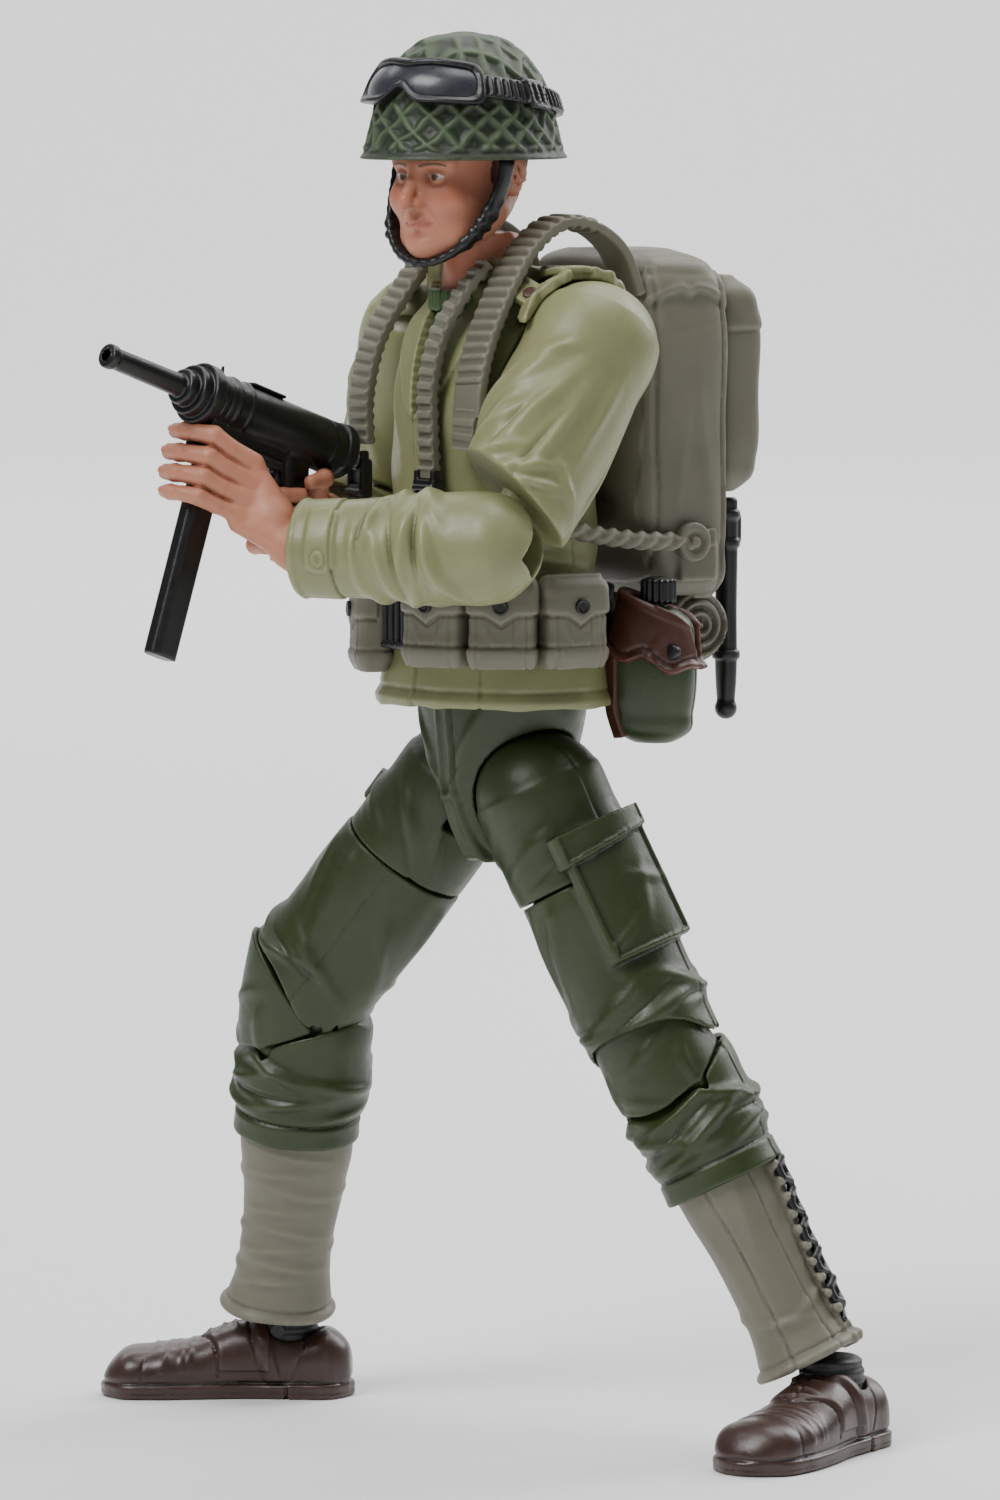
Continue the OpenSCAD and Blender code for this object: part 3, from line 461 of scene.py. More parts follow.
def plastic(name, colour, shade, glint, rough=0.45, mottle=0.12, coat=0.0, grain=0.05, wash_and_shade=0.85,
            wear_and_highlight=0.5,
            layers=()):
    """Painted moulded plastic: hollows darker, as dark paint and painted shade; edges lighter, as
    rubbed paint and painted highlight; an uneven satin skin.

    colour, shade and glint are the base, the painted shade (with dark paint) for hollows and the
    painted highlight (with rubbed paint) for edges. layers adds painted areas as (attribute, colour,
    roughness)."""
    mat = bpy.data.materials.new(name)
    mat.use_nodes = True
    nodes, links = mat.node_tree.nodes, mat.node_tree.links
    nodes.clear()
    out = nodes.new("ShaderNodeOutputMaterial")
    skin_ = nodes.new("ShaderNodeBsdfPrincipled")
    links.new(skin_.outputs[0], out.inputs[0])
    skin_.inputs["Coat Weight"].default_value = coat
    skin_.inputs["Coat Roughness"].default_value = 0.25
    skin_.inputs["Specular IOR Level"].default_value = 0.5
    where = nodes.new("ShaderNodeTexCoord")

    def noise(scale, detail, rough_=0.55):
        n = nodes.new("ShaderNodeTexNoise")
        n.inputs["Scale"].default_value = scale
        n.inputs["Detail"].default_value = detail
        n.inputs["Roughness"].default_value = rough_
        links.new(where.outputs["Object"], n.inputs["Vector"])
        return n.outputs["Fac"]

    def remap(value, a, b, c, d):
        n = nodes.new("ShaderNodeMapRange")
        for i, x in enumerate((a, b, c, d)):
            n.inputs[i + 1].default_value = x
        links.new(value, n.inputs[0])
        return n.outputs[0]

    def math_(op, a, b):
        n = nodes.new("ShaderNodeMath")
        n.operation = op
        n.use_clamp = True
        for i, x in enumerate((a, b)):
            if isinstance(x, (int, float)):
                n.inputs[i].default_value = x
            else:
                links.new(x, n.inputs[i])
        return n.outputs[0]

    def blend(fac, a, b):
        n = nodes.new("ShaderNodeMix")
        n.data_type = "RGBA"
        links.new(fac, n.inputs[0])
        for i, x in ((6, a), (7, b)):
            if isinstance(x, tuple):
                n.inputs[i].default_value = (*x, 1)
            else:
                links.new(x, n.inputs[i])
        return n.outputs[2]

    def attribute(label):
        n = nodes.new("ShaderNodeAttribute")
        n.attribute_name = label
        return n.outputs["Fac"]

    cloud, fine = noise(230, 3), noise(1500, 4)
    low = tuple(c * (1 - mottle) for c in colour)
    high = tuple(min(1, c * (1 + mottle)) for c in colour)
    base = blend(remap(cloud, 0.3, 0.7, 0, 1), low, high)
    rough_out = remap(fine, 0.3, 0.7, rough - 0.06, rough + 0.07)
    for label, tint, tint_rough in layers:
        a = attribute(label)
        base = blend(a, base, tint)
        soft = nodes.new("ShaderNodeMix")
        links.new(a, soft.inputs[0])
        links.new(rough_out, soft.inputs[2])
        soft.inputs[3].default_value = tint_rough
        rough_out = soft.outputs[0]
    # Painted shade: hollows darkened toward the shade colour, standing in for occlusion shade as well
    # as dark paint in the recesses.
    washed_and_shaded = math_("MULTIPLY", attribute("hollow"),
                   math_("MULTIPLY", remap(fine, 0.25, 0.6, 0.7, 1.0), wash_and_shade))
    base = blend(washed_and_shaded, base, shade)
    # Painted highlight: edges lightened toward the glint colour, standing in for light catching them
    # as well as rubbed paint.
    worn_and_highlit = math_("MULTIPLY", attribute("edge"),
                 math_("MULTIPLY", remap(fine, 0.35, 0.65, 0.35, 1.0), wear_and_highlight))
    base = blend(worn_and_highlit, base, glint)
    links.new(base, skin_.inputs["Base Color"])
    links.new(rough_out, skin_.inputs["Roughness"])
    bumps = nodes.new("ShaderNodeBump")
    bumps.inputs["Strength"].default_value = 0.35
    bumps.inputs["Distance"].default_value = 0.001 * grain
    links.new(noise(3800, 5, 0.6), bumps.inputs["Height"])
    links.new(bumps.outputs[0], skin_.inputs["Normal"])
    return mat


def tone(r, g, b):
    """A display colour, 0 to 255, as linear light."""
    return tuple((v / 255 / 12.92) if v / 255 <= 0.04045 else ((v / 255 + 0.055) / 1.055) ** 2.4
                 for v in (r, g, b))


# In each plastic the second colour is the painted shade for its hollows and the third the painted
# highlight for its edges, each mixed with real paint.
JACKET_C, TROUSER_C, WEB_C = tone(130, 132, 92), tone(42, 54, 22), tone(108, 105, 90)
JACKET = plastic("jacket_plastic", JACKET_C, tone(56, 58, 30), tone(186, 190, 142), 0.4, 0.07,
                 wear_and_highlight=0.4,
                 layers=[("button", tone(98, 52, 40), 0.35)])
TROUSERS = plastic("trouser_plastic", TROUSER_C, tone(12, 18, 7), tone(78, 95, 50), 0.42, 0.08,
                   wear_and_highlight=0.35)
WEBBING = plastic("webbing_plastic", WEB_C, tone(54, 48, 38), tone(176, 171, 152), 0.5, 0.07,
                  wear_and_highlight=0.5)
HELMET = plastic("helmet_plastic", tone(35, 45, 28), tone(10, 17, 9), tone(118, 138, 104), 0.5,
                 0.14, wear_and_highlight=0.55,
                 layers=[("cord", tone(66, 82, 54), 0.55)])
SKIN = plastic("skin_plastic", tone(188, 124, 97), tone(122, 58, 36), tone(214, 150, 118), 0.46,
               0.05, wear_and_highlight=0.15,
               wash_and_shade=0.55, layers=[("blush", tone(190, 98, 72), 0.45),
                                  ("hair", tone(52, 36, 27), 0.6),
                                 ("lips", tone(168, 92, 78), 0.35),
                                  ("white", tone(226, 220, 208), 0.25),
                                 ("iris", tone(74, 74, 52), 0.2),
                                  ("pupil", tone(14, 12, 12), 0.15)])
SHOES = plastic("shoe_plastic", tone(56, 36, 29), tone(18, 11, 9), tone(120, 90, 76), 0.36, 0.1,
                coat=0.15, wear_and_highlight=0.6)
BLACK = plastic("black_plastic", tone(13, 13, 15), tone(4, 4, 5), tone(56, 57, 62), 0.38, 0.15,
                coat=0.1, wear_and_highlight=0.3)
GUN_BLACK = plastic("gun_plastic", tone(10, 10, 12), tone(3, 3, 4), tone(44, 45, 50), 0.36, 0.15,
                    coat=0.08, wear_and_highlight=0.25)
LENS = plastic("lens_plastic", tone(46, 48, 54), tone(22, 23, 26), tone(86, 90, 98), 0.3, 0.08,
               coat=0.25, grain=0.01)
LEATHER = plastic("leather_plastic", tone(72, 38, 27), tone(26, 13, 9), tone(124, 80, 62), 0.4,
                  0.12, wear_and_highlight=0.6)
CANTEEN = plastic("canteen_plastic", tone(45, 58, 27), tone(14, 21, 9), tone(92, 116, 66), 0.38,
                  0.08, wear_and_highlight=0.4)
UNDERSHIRT = plastic("undershirt_plastic", tone(66, 92, 48), tone(24, 38, 18), tone(106, 130, 84),
                     0.5, 0.1, grain=0.1)
JOINT_BLACK = plastic("joint_plastic", tone(24, 24, 26), tone(8, 8, 9), tone(60, 60, 62), 0.5, 0.1)

# ---- head and helmet -----------------------------------------------------------------------------

HEAD_RINGS = [[3.9, 1.5, 1.3, 0, -5.0], [4.9, 2.5, 2.9, 0, -3.9], [6.4, 3.25, 4.2, 0, -3.0],
              [8.8, 3.75, 4.9, 0, -2.4], [11.5, 4.0, 5.2, 0, -2.1], [14, 3.8, 4.9, 0, -2.0],
              [16.0, 2.0, 2.6, 0, -2.0]]
HEAD_Y = -1.9  # the helmet's upright axis
HELMET_RINGS = [[10.5, 6.75, 7.95, 0, -1.9], [11.2, 6.3, 7.35, 0, -1.9],
                [12.4, 5.95, 6.85, 0, -1.9],
                [14.6, 5.4, 6.3, 0, -1.9], [16.6, 4.45, 5.35, 0, -1.9], [18.1, 3.05, 3.9, 0, -1.9],
                [18.9, 1.7, 2.3, 0, -1.9], [19.2, 0.5, 0.6, 0, -1.9]]


EYE_X, EYE_Y, EYE = 1.38, -6.28, 9.42


def make_head():
    b = Block((-5, -9.6, 2.6), (5, 4, 13.5), 0.1)
    p = b.p
    d = loft(p, HEAD_RINGS, 2.0, 0.8)
    d = cut(d, brick(p, (0, 0, 15.4), (9, 9, 2.4)), 0.5)
    d = join(d, egg(p, (0, -6.0, 4.75), (1.35, 1.15, 0.95)), 0.9)
    for s in (-1, 1):
        d = join(d, egg(p, (2.0 * s, -5.75, 7.9), (1.15, 1.0, 1.0)), 1.2)
        d = join(d, rod(p, (1.9 * s, -4.9, 5.2), (3.0 * s, -2.2, 6.9), 0.75, 0.7), 1.2)
        d = join(d, rod(p, (0.5 * s, -7.0, 10.1), (2.3 * s, -6.35, 10.35), 0.42, 0.35), 0.7)
        d = cut(d, egg(p, (1.4 * s, -7.45, 9.4), (0.95, 0.75, 0.52)), 0.5)
        d = cut(d, egg(p, (3.7 * s, -4.9, 9.6), (0.8, 1.6, 1.5)), 1.0)
    eyes = []
    for s in (-1, 1):
        c = (EYE_X * s, EYE_Y, EYE)
        eyes.append(ball(p, c, 0.66))
        upper = meet(ball(p, c, 0.8), EYE + 0.15 - 0.3 * (p[0] - c[0]) ** 2 - p[2])
        lower = meet(ball(p, c, 0.75), p[2] - EYE + 0.24 - 0.18 * (p[0] - c[0]) ** 2)
        d = join(d, upper, 0.1)
        d = join(d, lower, 0.1)
    d = join(d, union(eyes), 0.04)
    nose = chain(p, [(0, -6.95, 10.0), (0, -7.6, 8.9), (0, -8.3, 7.85)], (0.4, 0.38, 0.46), 0.2)
    nose = join(nose, ball(p, (0, -8.35, 7.65), 0.46), 0.3)
    for s in (-1, 1):
        nose = join(nose, egg(p, (0.52 * s, -7.5, 7.68), (0.36, 0.55, 0.36)), 0.25)
        nose = join(nose, rod(p, (0.3 * s, -6.95, 9.3), (0.5 * s, -7.15, 7.95), 0.3, 0.38), 0.45)
    d = join(d, nose, 0.5)
    for s in (-1, 1):
        d = cut(d, egg(p, (0.27 * s, -7.95, 7.38), (0.14, 0.2, 0.12)), 0.08)
    mouth = join(chain(p, [(-1.3, -6.42, 6.2), (-0.36, -7.12, 6.4), (0, -7.17, 6.34),
                           (0.36, -7.12, 6.4),
                           (1.3, -6.42, 6.2)], (0.1, 0.21, 0.18, 0.21, 0.1), 0.1),
                 chain(p, [(-1.1, -6.5, 6.08), (0, -7.1, 5.9), (1.1, -6.5, 6.08)],
                       (0.1, 0.27, 0.1), 0.1), 0.08)
    d = join(d, mouth, 0.3)
    d = cut(d, chain(p, [(-1.34, -6.62, 6.17), (-0.6, -7.2, 6.15), (0, -7.4, 6.13),
                         (0.6, -7.2, 6.15), (1.34, -6.62, 6.17)],
                     (0.05, 0.06, 0.07, 0.06, 0.05)), 0.08)
    d = cut(d, rod(p, (0, -7.68, 6.75), (0, -7.68, 7.1), 0.08), 0.12)
    d = cut(d, egg(p, (0, -7.32, 5.35), (0.9, 0.26, 0.2)), 0.35)
    for s in (-1, 1):
        ear = egg(p, (3.95 * s, -1.4, 9.3), (0.42, 0.95, 1.35))
        ear = cut(ear, egg(p, (4.3 * s, -1.5, 9.5), (0.3, 0.5, 0.8)), 0.15)
        ear = join(ear, rod(p, (4.1 * s, -1.6, 8.9), (4.15 * s, -1.0, 9.9), 0.13), 0.15)
        d = join(d, ear, 0.25)
    d = cut(d, drum(p, (0, 0, 3.6), 2, 2.95, 1.7), 0.1)

    def relief(x, y, z):
        r = 0
        for s in (-1, 1):
            r = r + bump(x * s, z, 1.25, 6.9, -62, 0.75, 0.16, -0.1)
            r = r + bump(x * s, z, 1.5, 8.75, 12, 0.6, 0.13, -0.04)
        front = y < -4.5
        hairy = (z > 8.9) & (y > -2.9) | (y > 1.2) & (z > 6.8)
        strands = 0.05 * np.sin(9 * (np.arctan2(y + 2, x) * 4 + z * 0.35))
        return np.where(front, r, 0) + np.where(hairy, 0.12 + strands, 0)

    d = b.raise_by(b.full(d), 0.5, relief)

    def paint(v):
        x, y, z = abs(v[:, 0]), v[:, 1], v[:, 2]
        front = y < -5.4
        c = np.stack([x - EYE_X, y - EYE_Y, z - EYE], 1)
        on_eye = front & (np.linalg.norm(c, axis=1) < 0.71)
        r = np.hypot(x - EYE_X + 0.02, z - EYE + 0.03)
        lip = np.exp(-((z - 6.17) / 0.32) ** 4) * (x < 1.3 - 1.1 * abs(z - 6.17)) * (y < -6.3)
        brow_z = EYE + 0.66 + 0.16 * np.sin((x - 0.5) * 1.6)
        brow = front * np.exp(-((z - brow_z) / (0.15 - 0.03 * x)) ** 4) * (x > 0.55) * (x < 2.35)
        lid = EYE + 0.17 - 0.3 * (x - EYE_X) ** 2
        lash = front * ridge(z - lid, 0.06, 0.8) * (abs(x - 1.4) < 0.68)
        hair = ((z > 8.7 + 0.25 * np.sin(x * 7 + y * 5)) & (y > -3.2) & (y < -2.1)
                | (y > 0.9) & (z > 6.6) | (y > -0.3) & (z > 8.0)) & (abs(v[:, 0]) < 4.25)
        blush = (0.5 * np.exp(-((x - 2.3) / 0.9) ** 2 - ((z - 7.9) / 0.8) ** 2) * (y < -4)
                 + 0.6 * np.exp(-(x / 0.6) ** 2 - ((z - 7.8) / 0.5) ** 2) * (y < -7.4))
        return {"white": on_eye * (z < EYE + 0.18) * (z > EYE - 0.26) * 1.0,
                "iris": on_eye * (r < 0.29) * 1.0,
                "pupil": on_eye * (r < 0.12) * 1.0, "lips": lip * 0.75,
                "hair": np.maximum(np.maximum(hair * 1.0, brow * 0.9), lash), "blush": blush}

    skin("head_sculpt", b, d, HEAD, "head", SKIN, ["head"], paint)


def make_neck():
    b = Block((-3.6, -3.8, -0.3), (3.6, 3.8, 5.6), 0.12)
    p = b.p
    d = loft(p, [[5.4, 2.45, 2.55, 0, 0.1], [3, 2.5, 2.6], [1.2, 2.75, 2.75], [0.3, 2.9, 2.8]],
             2.0, 0.2)
    for s in (-1, 1):
        d = join(d, rod(p, (2.3 * s, 0.8, 5), (0.7 * s, -2.45, 0.6), 0.42), 0.5)
    d = join(d, egg(p, (0, -2.5, 3.0), (0.45, 0.35, 0.6)), 0.4)
    skin("neck_sculpt", b, d, shift(*place("neck_nod")), "neck", SKIN, ["neck"])


def net(x, y, z):
    """Cords of a camouflage net in diamonds, laid round the sides and again from the crown."""
    turn_ = np.arctan2(x, -(y - HEAD_Y))
    wob = 0.07 * np.sin(5 * turn_ + 2 * z) + 0.06 * np.sin(3.1 * z + 7 * turn_)

    def cords(a, c):
        return np.maximum(*[ridge((a + k) % 1 - 0.5, 0.17, 1.0) for k in (c + wob, -c - wob)])

    u, w = turn_ * 10 / math.pi, (z - 10.6) / 3.3
    side_net = cords(u, w * 1.7)
    knots = np.exp(-(((u + w * 1.7 + wob) % 1) ** 2 + ((u - w * 1.7 - wob) % 1 - 1) ** 2) / 0.01)
    down = 6.4 * np.arccos(np.clip((z - 12.4) / 7.4, -1, 1))
    top_net = cords(down * np.sin(turn_) / 2.7, down * np.cos(turn_) / 2.7)
    f = np.clip((z - 14.2 - 0.16 * (3 - y)) / 0.3, 0, 1)
    return side_net * (1 - f) + top_net * f, knots * (1 - f)


def make_helmet():
    b = Block((-7.3, -10.5, 10.0), (7.3, 6.7, 20.0), 0.12)
    p = b.p
    d = loft(p, HELMET_RINGS, 2.0, 0.25)
    inner = loft(p, [[z, a - 0.55, c - 0.55, x, y] for z, a, c, x, y in HELMET_RINGS[:-2]]
                 + [[9.5, 6.6, 7.8, 0, -1.9]], 2.0, 0.3)
    lining = loft(p, [[9.0, 5.4, 6.5, 0, -1.9], [12.0, 5.0, 6.0, 0, -1.9],
                      [13.4, 4.1, 5.2, 0, -1.9], [14, 3.0, 4.2, 0, -1.9]], 2.0, 0.5)
    d = cut(d, meet(inner, lining, 0.3), 0.1)
    d = b.full(d)

    def relief(x, y, z):
        cord, knot = net(x, y, z)
        below = np.clip((z - 11.0) / 0.3, 0, 1)
        outer = np.sqrt((x / 5.6) ** 2 + ((y - HEAD_Y) / 6.6) ** 2)
        return (0.3 * cord + 0.14 * knot + 0.03 * ripple(x, y, z, 1.4, 2)) * below * (outer > 0.3)

    d = b.raise_by(d, 0.45, relief)

    def paint(v):
        cord, _ = net(v[:, 0], v[:, 1], v[:, 2])
        return {"cord": cord * np.clip((v[:, 2] - 11.1) / 0.3, 0, 1)}

    skin("helmet_sculpt", b, d, HEAD, "head", HELMET, ["helmet"], paint)


RISE, GOGGLES_Z = 0.15, 14.0  # the band's slope up to the back, and its height in front


def make_goggles():
    b = Block((-7.2, -11.2, 12.4), (7.2, 6, 19.0), 0.1)
    p = b.p
    shell = loft(p, HELMET_RINGS, 2.0, 0.1)
    arc = np.arctan2(p[0], -(p[1] - HEAD_Y)) * 5.9
    up = p[2] - GOGGLES_Z - RISE * (5 - p[1])

    def outline(grow):
        half_h = 1.72 + grow - 0.25 * np.clip(abs(arc) / 5.2, 0, 1) ** 2
        notch, dip = ridge(arc, 0.8, 1.05), ridge(arc, 1.2, 0.25)
        side_ = abs(arc) - (5.3 + grow)
        v = np.maximum(up - (half_h - dip), -(up + (half_h - notch)))
        return meet(side_, v, 0.8)

    rim = meet(meet(outline(0), shell - 1.15, 0.35), -(shell - 0.02))
    rim = cut(rim, meet(outline(-0.55), 0.55 - shell), 0.12)
    rim = join(rim, meet(abs(outline(-0.22)) - 0.16, abs(shell - 1.12) - 0.18, 0.1), 0.1)
    skin("goggles_frame_sculpt", b, rim, HEAD, "head", BLACK, ["goggles_frame"])
    lens = meet(meet(outline(-0.5), shell - 0.82 - ridge(up, 1.2, 0.25), 0.1), 0.35 - shell)
    skin("goggles_lens_sculpt", b, lens, HEAD, "head", LENS, ["goggles_lens"])
    away = abs(np.arctan2(p[0], -(p[1] - HEAD_Y)))
    strap = meet(meet(abs(up + 0.05) - 0.78, shell - 0.8, 0.15), 0.05 - shell)
    strap = meet(strap, 0.72 - away)
    d = b.full(strap)

    def relief(x, y, z):
        a = np.arctan2(x, -(y - HEAD_Y))
        ribs = (0.12 * np.cos(a * 6.6 / 0.66 * 2 * math.pi)
                * (abs(z - GOGGLES_Z - RISE * (5 - y)) < 0.6))
        clip_ = 0.25 * (abs(abs(a) - 1.62) < 0.16)
        return ribs + clip_

    d = b.raise_by(d, 0.3, relief)
    skin("goggles_strap_sculpt", b, d, HEAD, "head", BLACK, ["goggles_strap"])


def make_chin_strap():
    angles = np.linspace(0, math.pi, 90)
    c, s = np.cos(angles), np.sin(angles)
    path = np.stack([4.6 * c * (1 - 0.06 * s), -3.0 - 3.2 * s, 10.7 - 7.12 * s ** 0.66], 1)
    across = np.stack([0 * c, np.ones_like(c), 0.35 * s], 1)

    def taper(run, total, profile):
        t = run / total
        k = 1.0
        for centre in (0.2, 0.245, 0.29, 0.335, 0.7, 0.745):
            k += ridge(t - centre, 0.013, 0.55)
        k += 0.08 * math.sin(run * 9)
        return profile * (1 + (k - 1) * 0.45, k)

    v, q = tube(path, across, flat_profile(1.4, 0.6, 20, 3.2), taper)
    make_mesh("chin_strap_sculpt", v, q, HEAD, "head", BLACK, ["chin_strap"])


# ---- torso ---------------------------------------------------------------------------------------

CHEST = [[58.9, 6.5, 5.95, 0, -0.1], [60.5, 6.9, 6.15, 0, -0.1], [66, 7.0, 6.4, 0, -0.4],
         [71, 7.0, 6.4, 0, -0.5],
         [74.5, 7.4, 5.95, 0, -0.2], [77, 7.15, 5.0, 0, 0], [78.6, 5.3, 4.1, 0, 0],
         [79.6, 3.9, 3.5, 0, -1.0]]
SHOULDER = {s: (s * 10.0, 0.6, 75.6) for s in (-1, 1)}


def make_jacket():
    b = Block((-10.2, -8.3, 58.5), (10.2, 7.2, 82.2), 0.15)
    p = b.p
    x, y, z = p
    d = loft(p, CHEST, 2.3, 0.5)
    for s in (-1, 1):
        d = join(d, rod(p, (3.0 * s, 0.2, 78.6), (7.0 * s, 0.5, 78.4), 1.5, 1.3), 1.2)
        cap = meet(ball(p, SHOULDER[s], 5.5), 77.4 - z, 0.2)
        cap = meet(cap, abs(x) - (9.2 - 0.35 * np.cos((y - 0.6) * 1.7)), 0.2)
        d = join(d, cap, 0.4)
    d = b.full(d)
    # Collar: a stand-up fall round the back and sides of the neck, open in front
    ring = np.sqrt((x / 3.75) ** 2 + ((y + 0.9) / 3.7) ** 2)
    collar = meet(meet(abs(ring - 1.12) * 3.7 - 0.45, abs(z - 79.9 + 0.12 * y) - 1.15, 0.4),
                  -(y + 2.9), 0.3)
    d = join(d, collar, 0.35)

    # Lapels: a thin layer either side of the open front
    def front_layer(x, y, z):
        w = np.clip((z - 70.6) / 9.4, 0, 1)
        opening = 0.15 + 2.35 * w
        wide = 2.5 * np.sin(np.clip(w, 0, 1) * 2.4) ** 0.8 + 0.2
        lap = np.where((abs(x) > opening) & (abs(x) < opening + wide) & (z > 70.4), 0.28, 0)
        under = np.where((abs(x) < opening) & (z > 70.8), -0.55, 0)
        flap = np.where((x < 0.9) & (x > -0.1) & (z < 70.8), 0.16, 0)
        placket = np.where(z < 70.9, groove(x - 0.95, 0.12, 0.24), 0)
        return np.where(y < -2.5, lap + under + flap + placket, 0)

    def folds(x, y, z):
        th = np.arctan2(x, -y)
        u = th * 6.6
        r = 0
        for s in (-1, 1):
            r = (r + bump(s * u, z, 9.2, 62.5, 28, 3.2, 0.62, 0.42)
                 + bump(s * u, z, 8.6, 64.6, 18, 3.0, 0.55, 0.38))
            r = (r + bump(s * u, z, 10.2, 60.9, -8, 2.6, 0.5, 0.34)
                 + bump(s * u, z, 9.6, 66.8, 32, 2.4, 0.6, 0.32))
            r = (r + bump(s * u, z, 9.0, 63.6, 24, 3.0, 0.3, -0.28)
                 + bump(s * u, z, 10.6, 70.0, 60, 2.6, 0.5, 0.26))
            r = (r + bump(s * u, z, 3.4, 72.5, 74, 3.4, 0.55, 0.24)
                 + bump(s * u, z, 4.8, 66.5, 84, 3.6, 0.6, 0.2))
            r = r + bump(s * u, z, 13.5, 68, 80, 4.5, 0.7, 0.2)
            r = r + np.where((abs(x) > 5.6) & (z < 74), groove((s * u - 11.4), 0.1, 0.14), 0)
        r = (r + bump(u, z, 0.8, 63.0, 70, 3.2, 0.5, 0.18)
             + bump(u, z, -1.2, 61.2, 20, 2.4, 0.4, 0.2))
        r = r + 0.06 * ripple(x, y, z, 1.1, 5)
        for s in (-1, 1):
            c = SHOULDER[s]
            q = np.sqrt((x - c[0]) ** 2 + (y - c[1]) ** 2 + (z - c[2]) ** 2)
            on = (abs(x) > 6.6) & (z > 77.2) & (q < 6.2)
            r = r + np.where(on, groove(abs(x) - 8.2, 0.13, 0.16) + groove(abs(x) - 7.2, 0.13, 0.12)
                             + 0.07 * np.sin(y * 5.2) * (abs(x) > 7.3), 0)
        return r

    d = b.raise_by(d, 0.9, folds)
    d = b.raise_by(d, 0.8, front_layer)
    for s in (-1, 1):
        d = cut(d, ball(p, SHOULDER[s], 4.72), 0.05)
        d = cut(d, meet(drum(local(p, shift(*SHOULDER[s]) @ turn("x", -(38.1 if s > 0 else -5.3))),
                             (0, 0, -5), 2, 4.75, 5.2), 6.0 - s * x, 0.1), 0.1)
    d = cut(d, drum(p, (0, -1.6, 80.6), 2, 3.0, 4.4), 0.1)
    d = cut(d, drum(p, (0, 0, 57), 2, 4.9, 2.6), 0.1)
    skin("jacket_sculpt", b, d, BODY, "torso", JACKET, ["jacket"])


def make_undershirt():
    b = Block((-4.6, -8.2, 70.2), (4.6, 3.6, 81.2), 0.13)
    p = b.p
    x, y, z = p
    inner = [[r[0], r[1] - 0.3, r[2] - 0.3, r[3], r[4]] for r in CHEST]
    d = loft(p, inner, 2.3, 0.4)
    w = np.clip((z - 70.6) / 9.4, 0, 1)
    d = meet(meet(d, abs(x) - 0.05 - 2.5 * w, 0.1), y + 3.0, 0.1)
    ring = np.sqrt((x / 3.05) ** 2 + ((y + 1.6) / 3.15) ** 2)
    band_ = meet(abs(ring - 1.06) * 3.1 - 0.3, abs(z - 78.9 - (y + 1.6) / 12) - 0.75, 0.2)
    d = b.full(join(d, band_, 0.25))

    def relief(x, y, z):
        return (groove(x - 0.35, 0.09, 0.12) * (y < -4) + 0.05 * np.sin(x * 16) * (z > 78)
                + bump(x, z, -0.6, 75, 60, 1.6, 0.3, 0.14))

    d = b.raise_by(d, 0.5, relief)
    d = cut(d, drum(p, (0, -1.6, 80), 2, 2.95, 6), 0.05)
    skin("undershirt_sculpt", b, d, BODY, "torso", UNDERSHIRT, ["undershirt"])


def make_epaulettes():
    for label, s in SIDE.items():
        m = BODY @ shift(s * 6.7, 0.3, 80.35) @ turn("y", -s * 12)
        b = Block((-2.9, -2.0, -1.0), (2.9, 2.0, 1.2), 0.1)
        p = b.p
        x = p[0] * s
        wide = 1.15 + 0.25 * np.clip((x + 2.6) / 5.2, 0, 1)
        outline = meet(abs(p[1]) - wide, np.maximum(x - 2.5, -2.6 - x), 0.5)
        arch = 0.32 - 0.05 * x ** 2 - 0.06 * p[1] ** 2
        d = meet(outline, abs(p[2] - arch) - 0.26, 0.15)
        fold = meet(meet(abs(p[1]) - 0.95, abs(x + 0.9) - 0.8, 0.2), abs(p[2] - arch - 0.3) - 0.16,
                    0.1)
        d = b.full(join(d, fold, 0.1))

        def relief(x_, y, z):
            return np.where(z > 0, groove(abs(y) - 1.0, 0.08, 0.1)
                            + groove(x_ * s - 2.2, 0.08, 0.1), 0)

        d = b.raise_by(d, 0.3, relief)
        d = join(d, drum(p, (-1.5 * s, 0, 0.75), 2, 0.42, 0.22, 0.1), 0.05)
        d = cut(d, drum(p, (-1.5 * s, 0, 1.05), 2, 0.24, 0.12, 0.05), 0.05)

        def paint(v):
            return {"button": (np.hypot(v[:, 0] + 1.5 * s, v[:, 1]) < 0.47) * (v[:, 2] > 0.55)
                    * 1.0}

        skin(label + "_epaulette_sculpt", b, d, m, "torso", JACKET,
             ["epaulettes"] if s > 0 else [], paint)
        m = (BODY @ shift(s * 7.5, -2.7, 79.1) @ turn("y", s * 31) @ turn("x", 30) @ turn("z",
                s * 14))
        b = Block((-2.0, -1.7, -1.0), (2.0, 1.7, 0.9), 0.08)
        p = b.p
        tab = meet(meet(abs(p[0]) - 1.25, abs(p[1]) - 0.95, 0.3),
                   abs(p[2] + 0.05 * p[0] ** 2) - 0.34, 0.15)
        tab = join(tab, meet(np.maximum(abs(p[0]) - 1.25, abs(p[1] - 0.8) - 0.14),
                             abs(p[2] - 0.28) - 0.12, 0.06), 0.08)
        skin(label + "_shoulder_tab", b, b.full(tab), m, "torso", JACKET)
        knob = meet(meet(np.hypot(p[0] - 0.1 * s, p[1] + 0.1) - 0.5, abs(p[2] - 0.36) - 0.2, 0.12),
                    -0.5)
        skin(label + "_shoulder_button", b, knob, m, "torso", LEATHER)


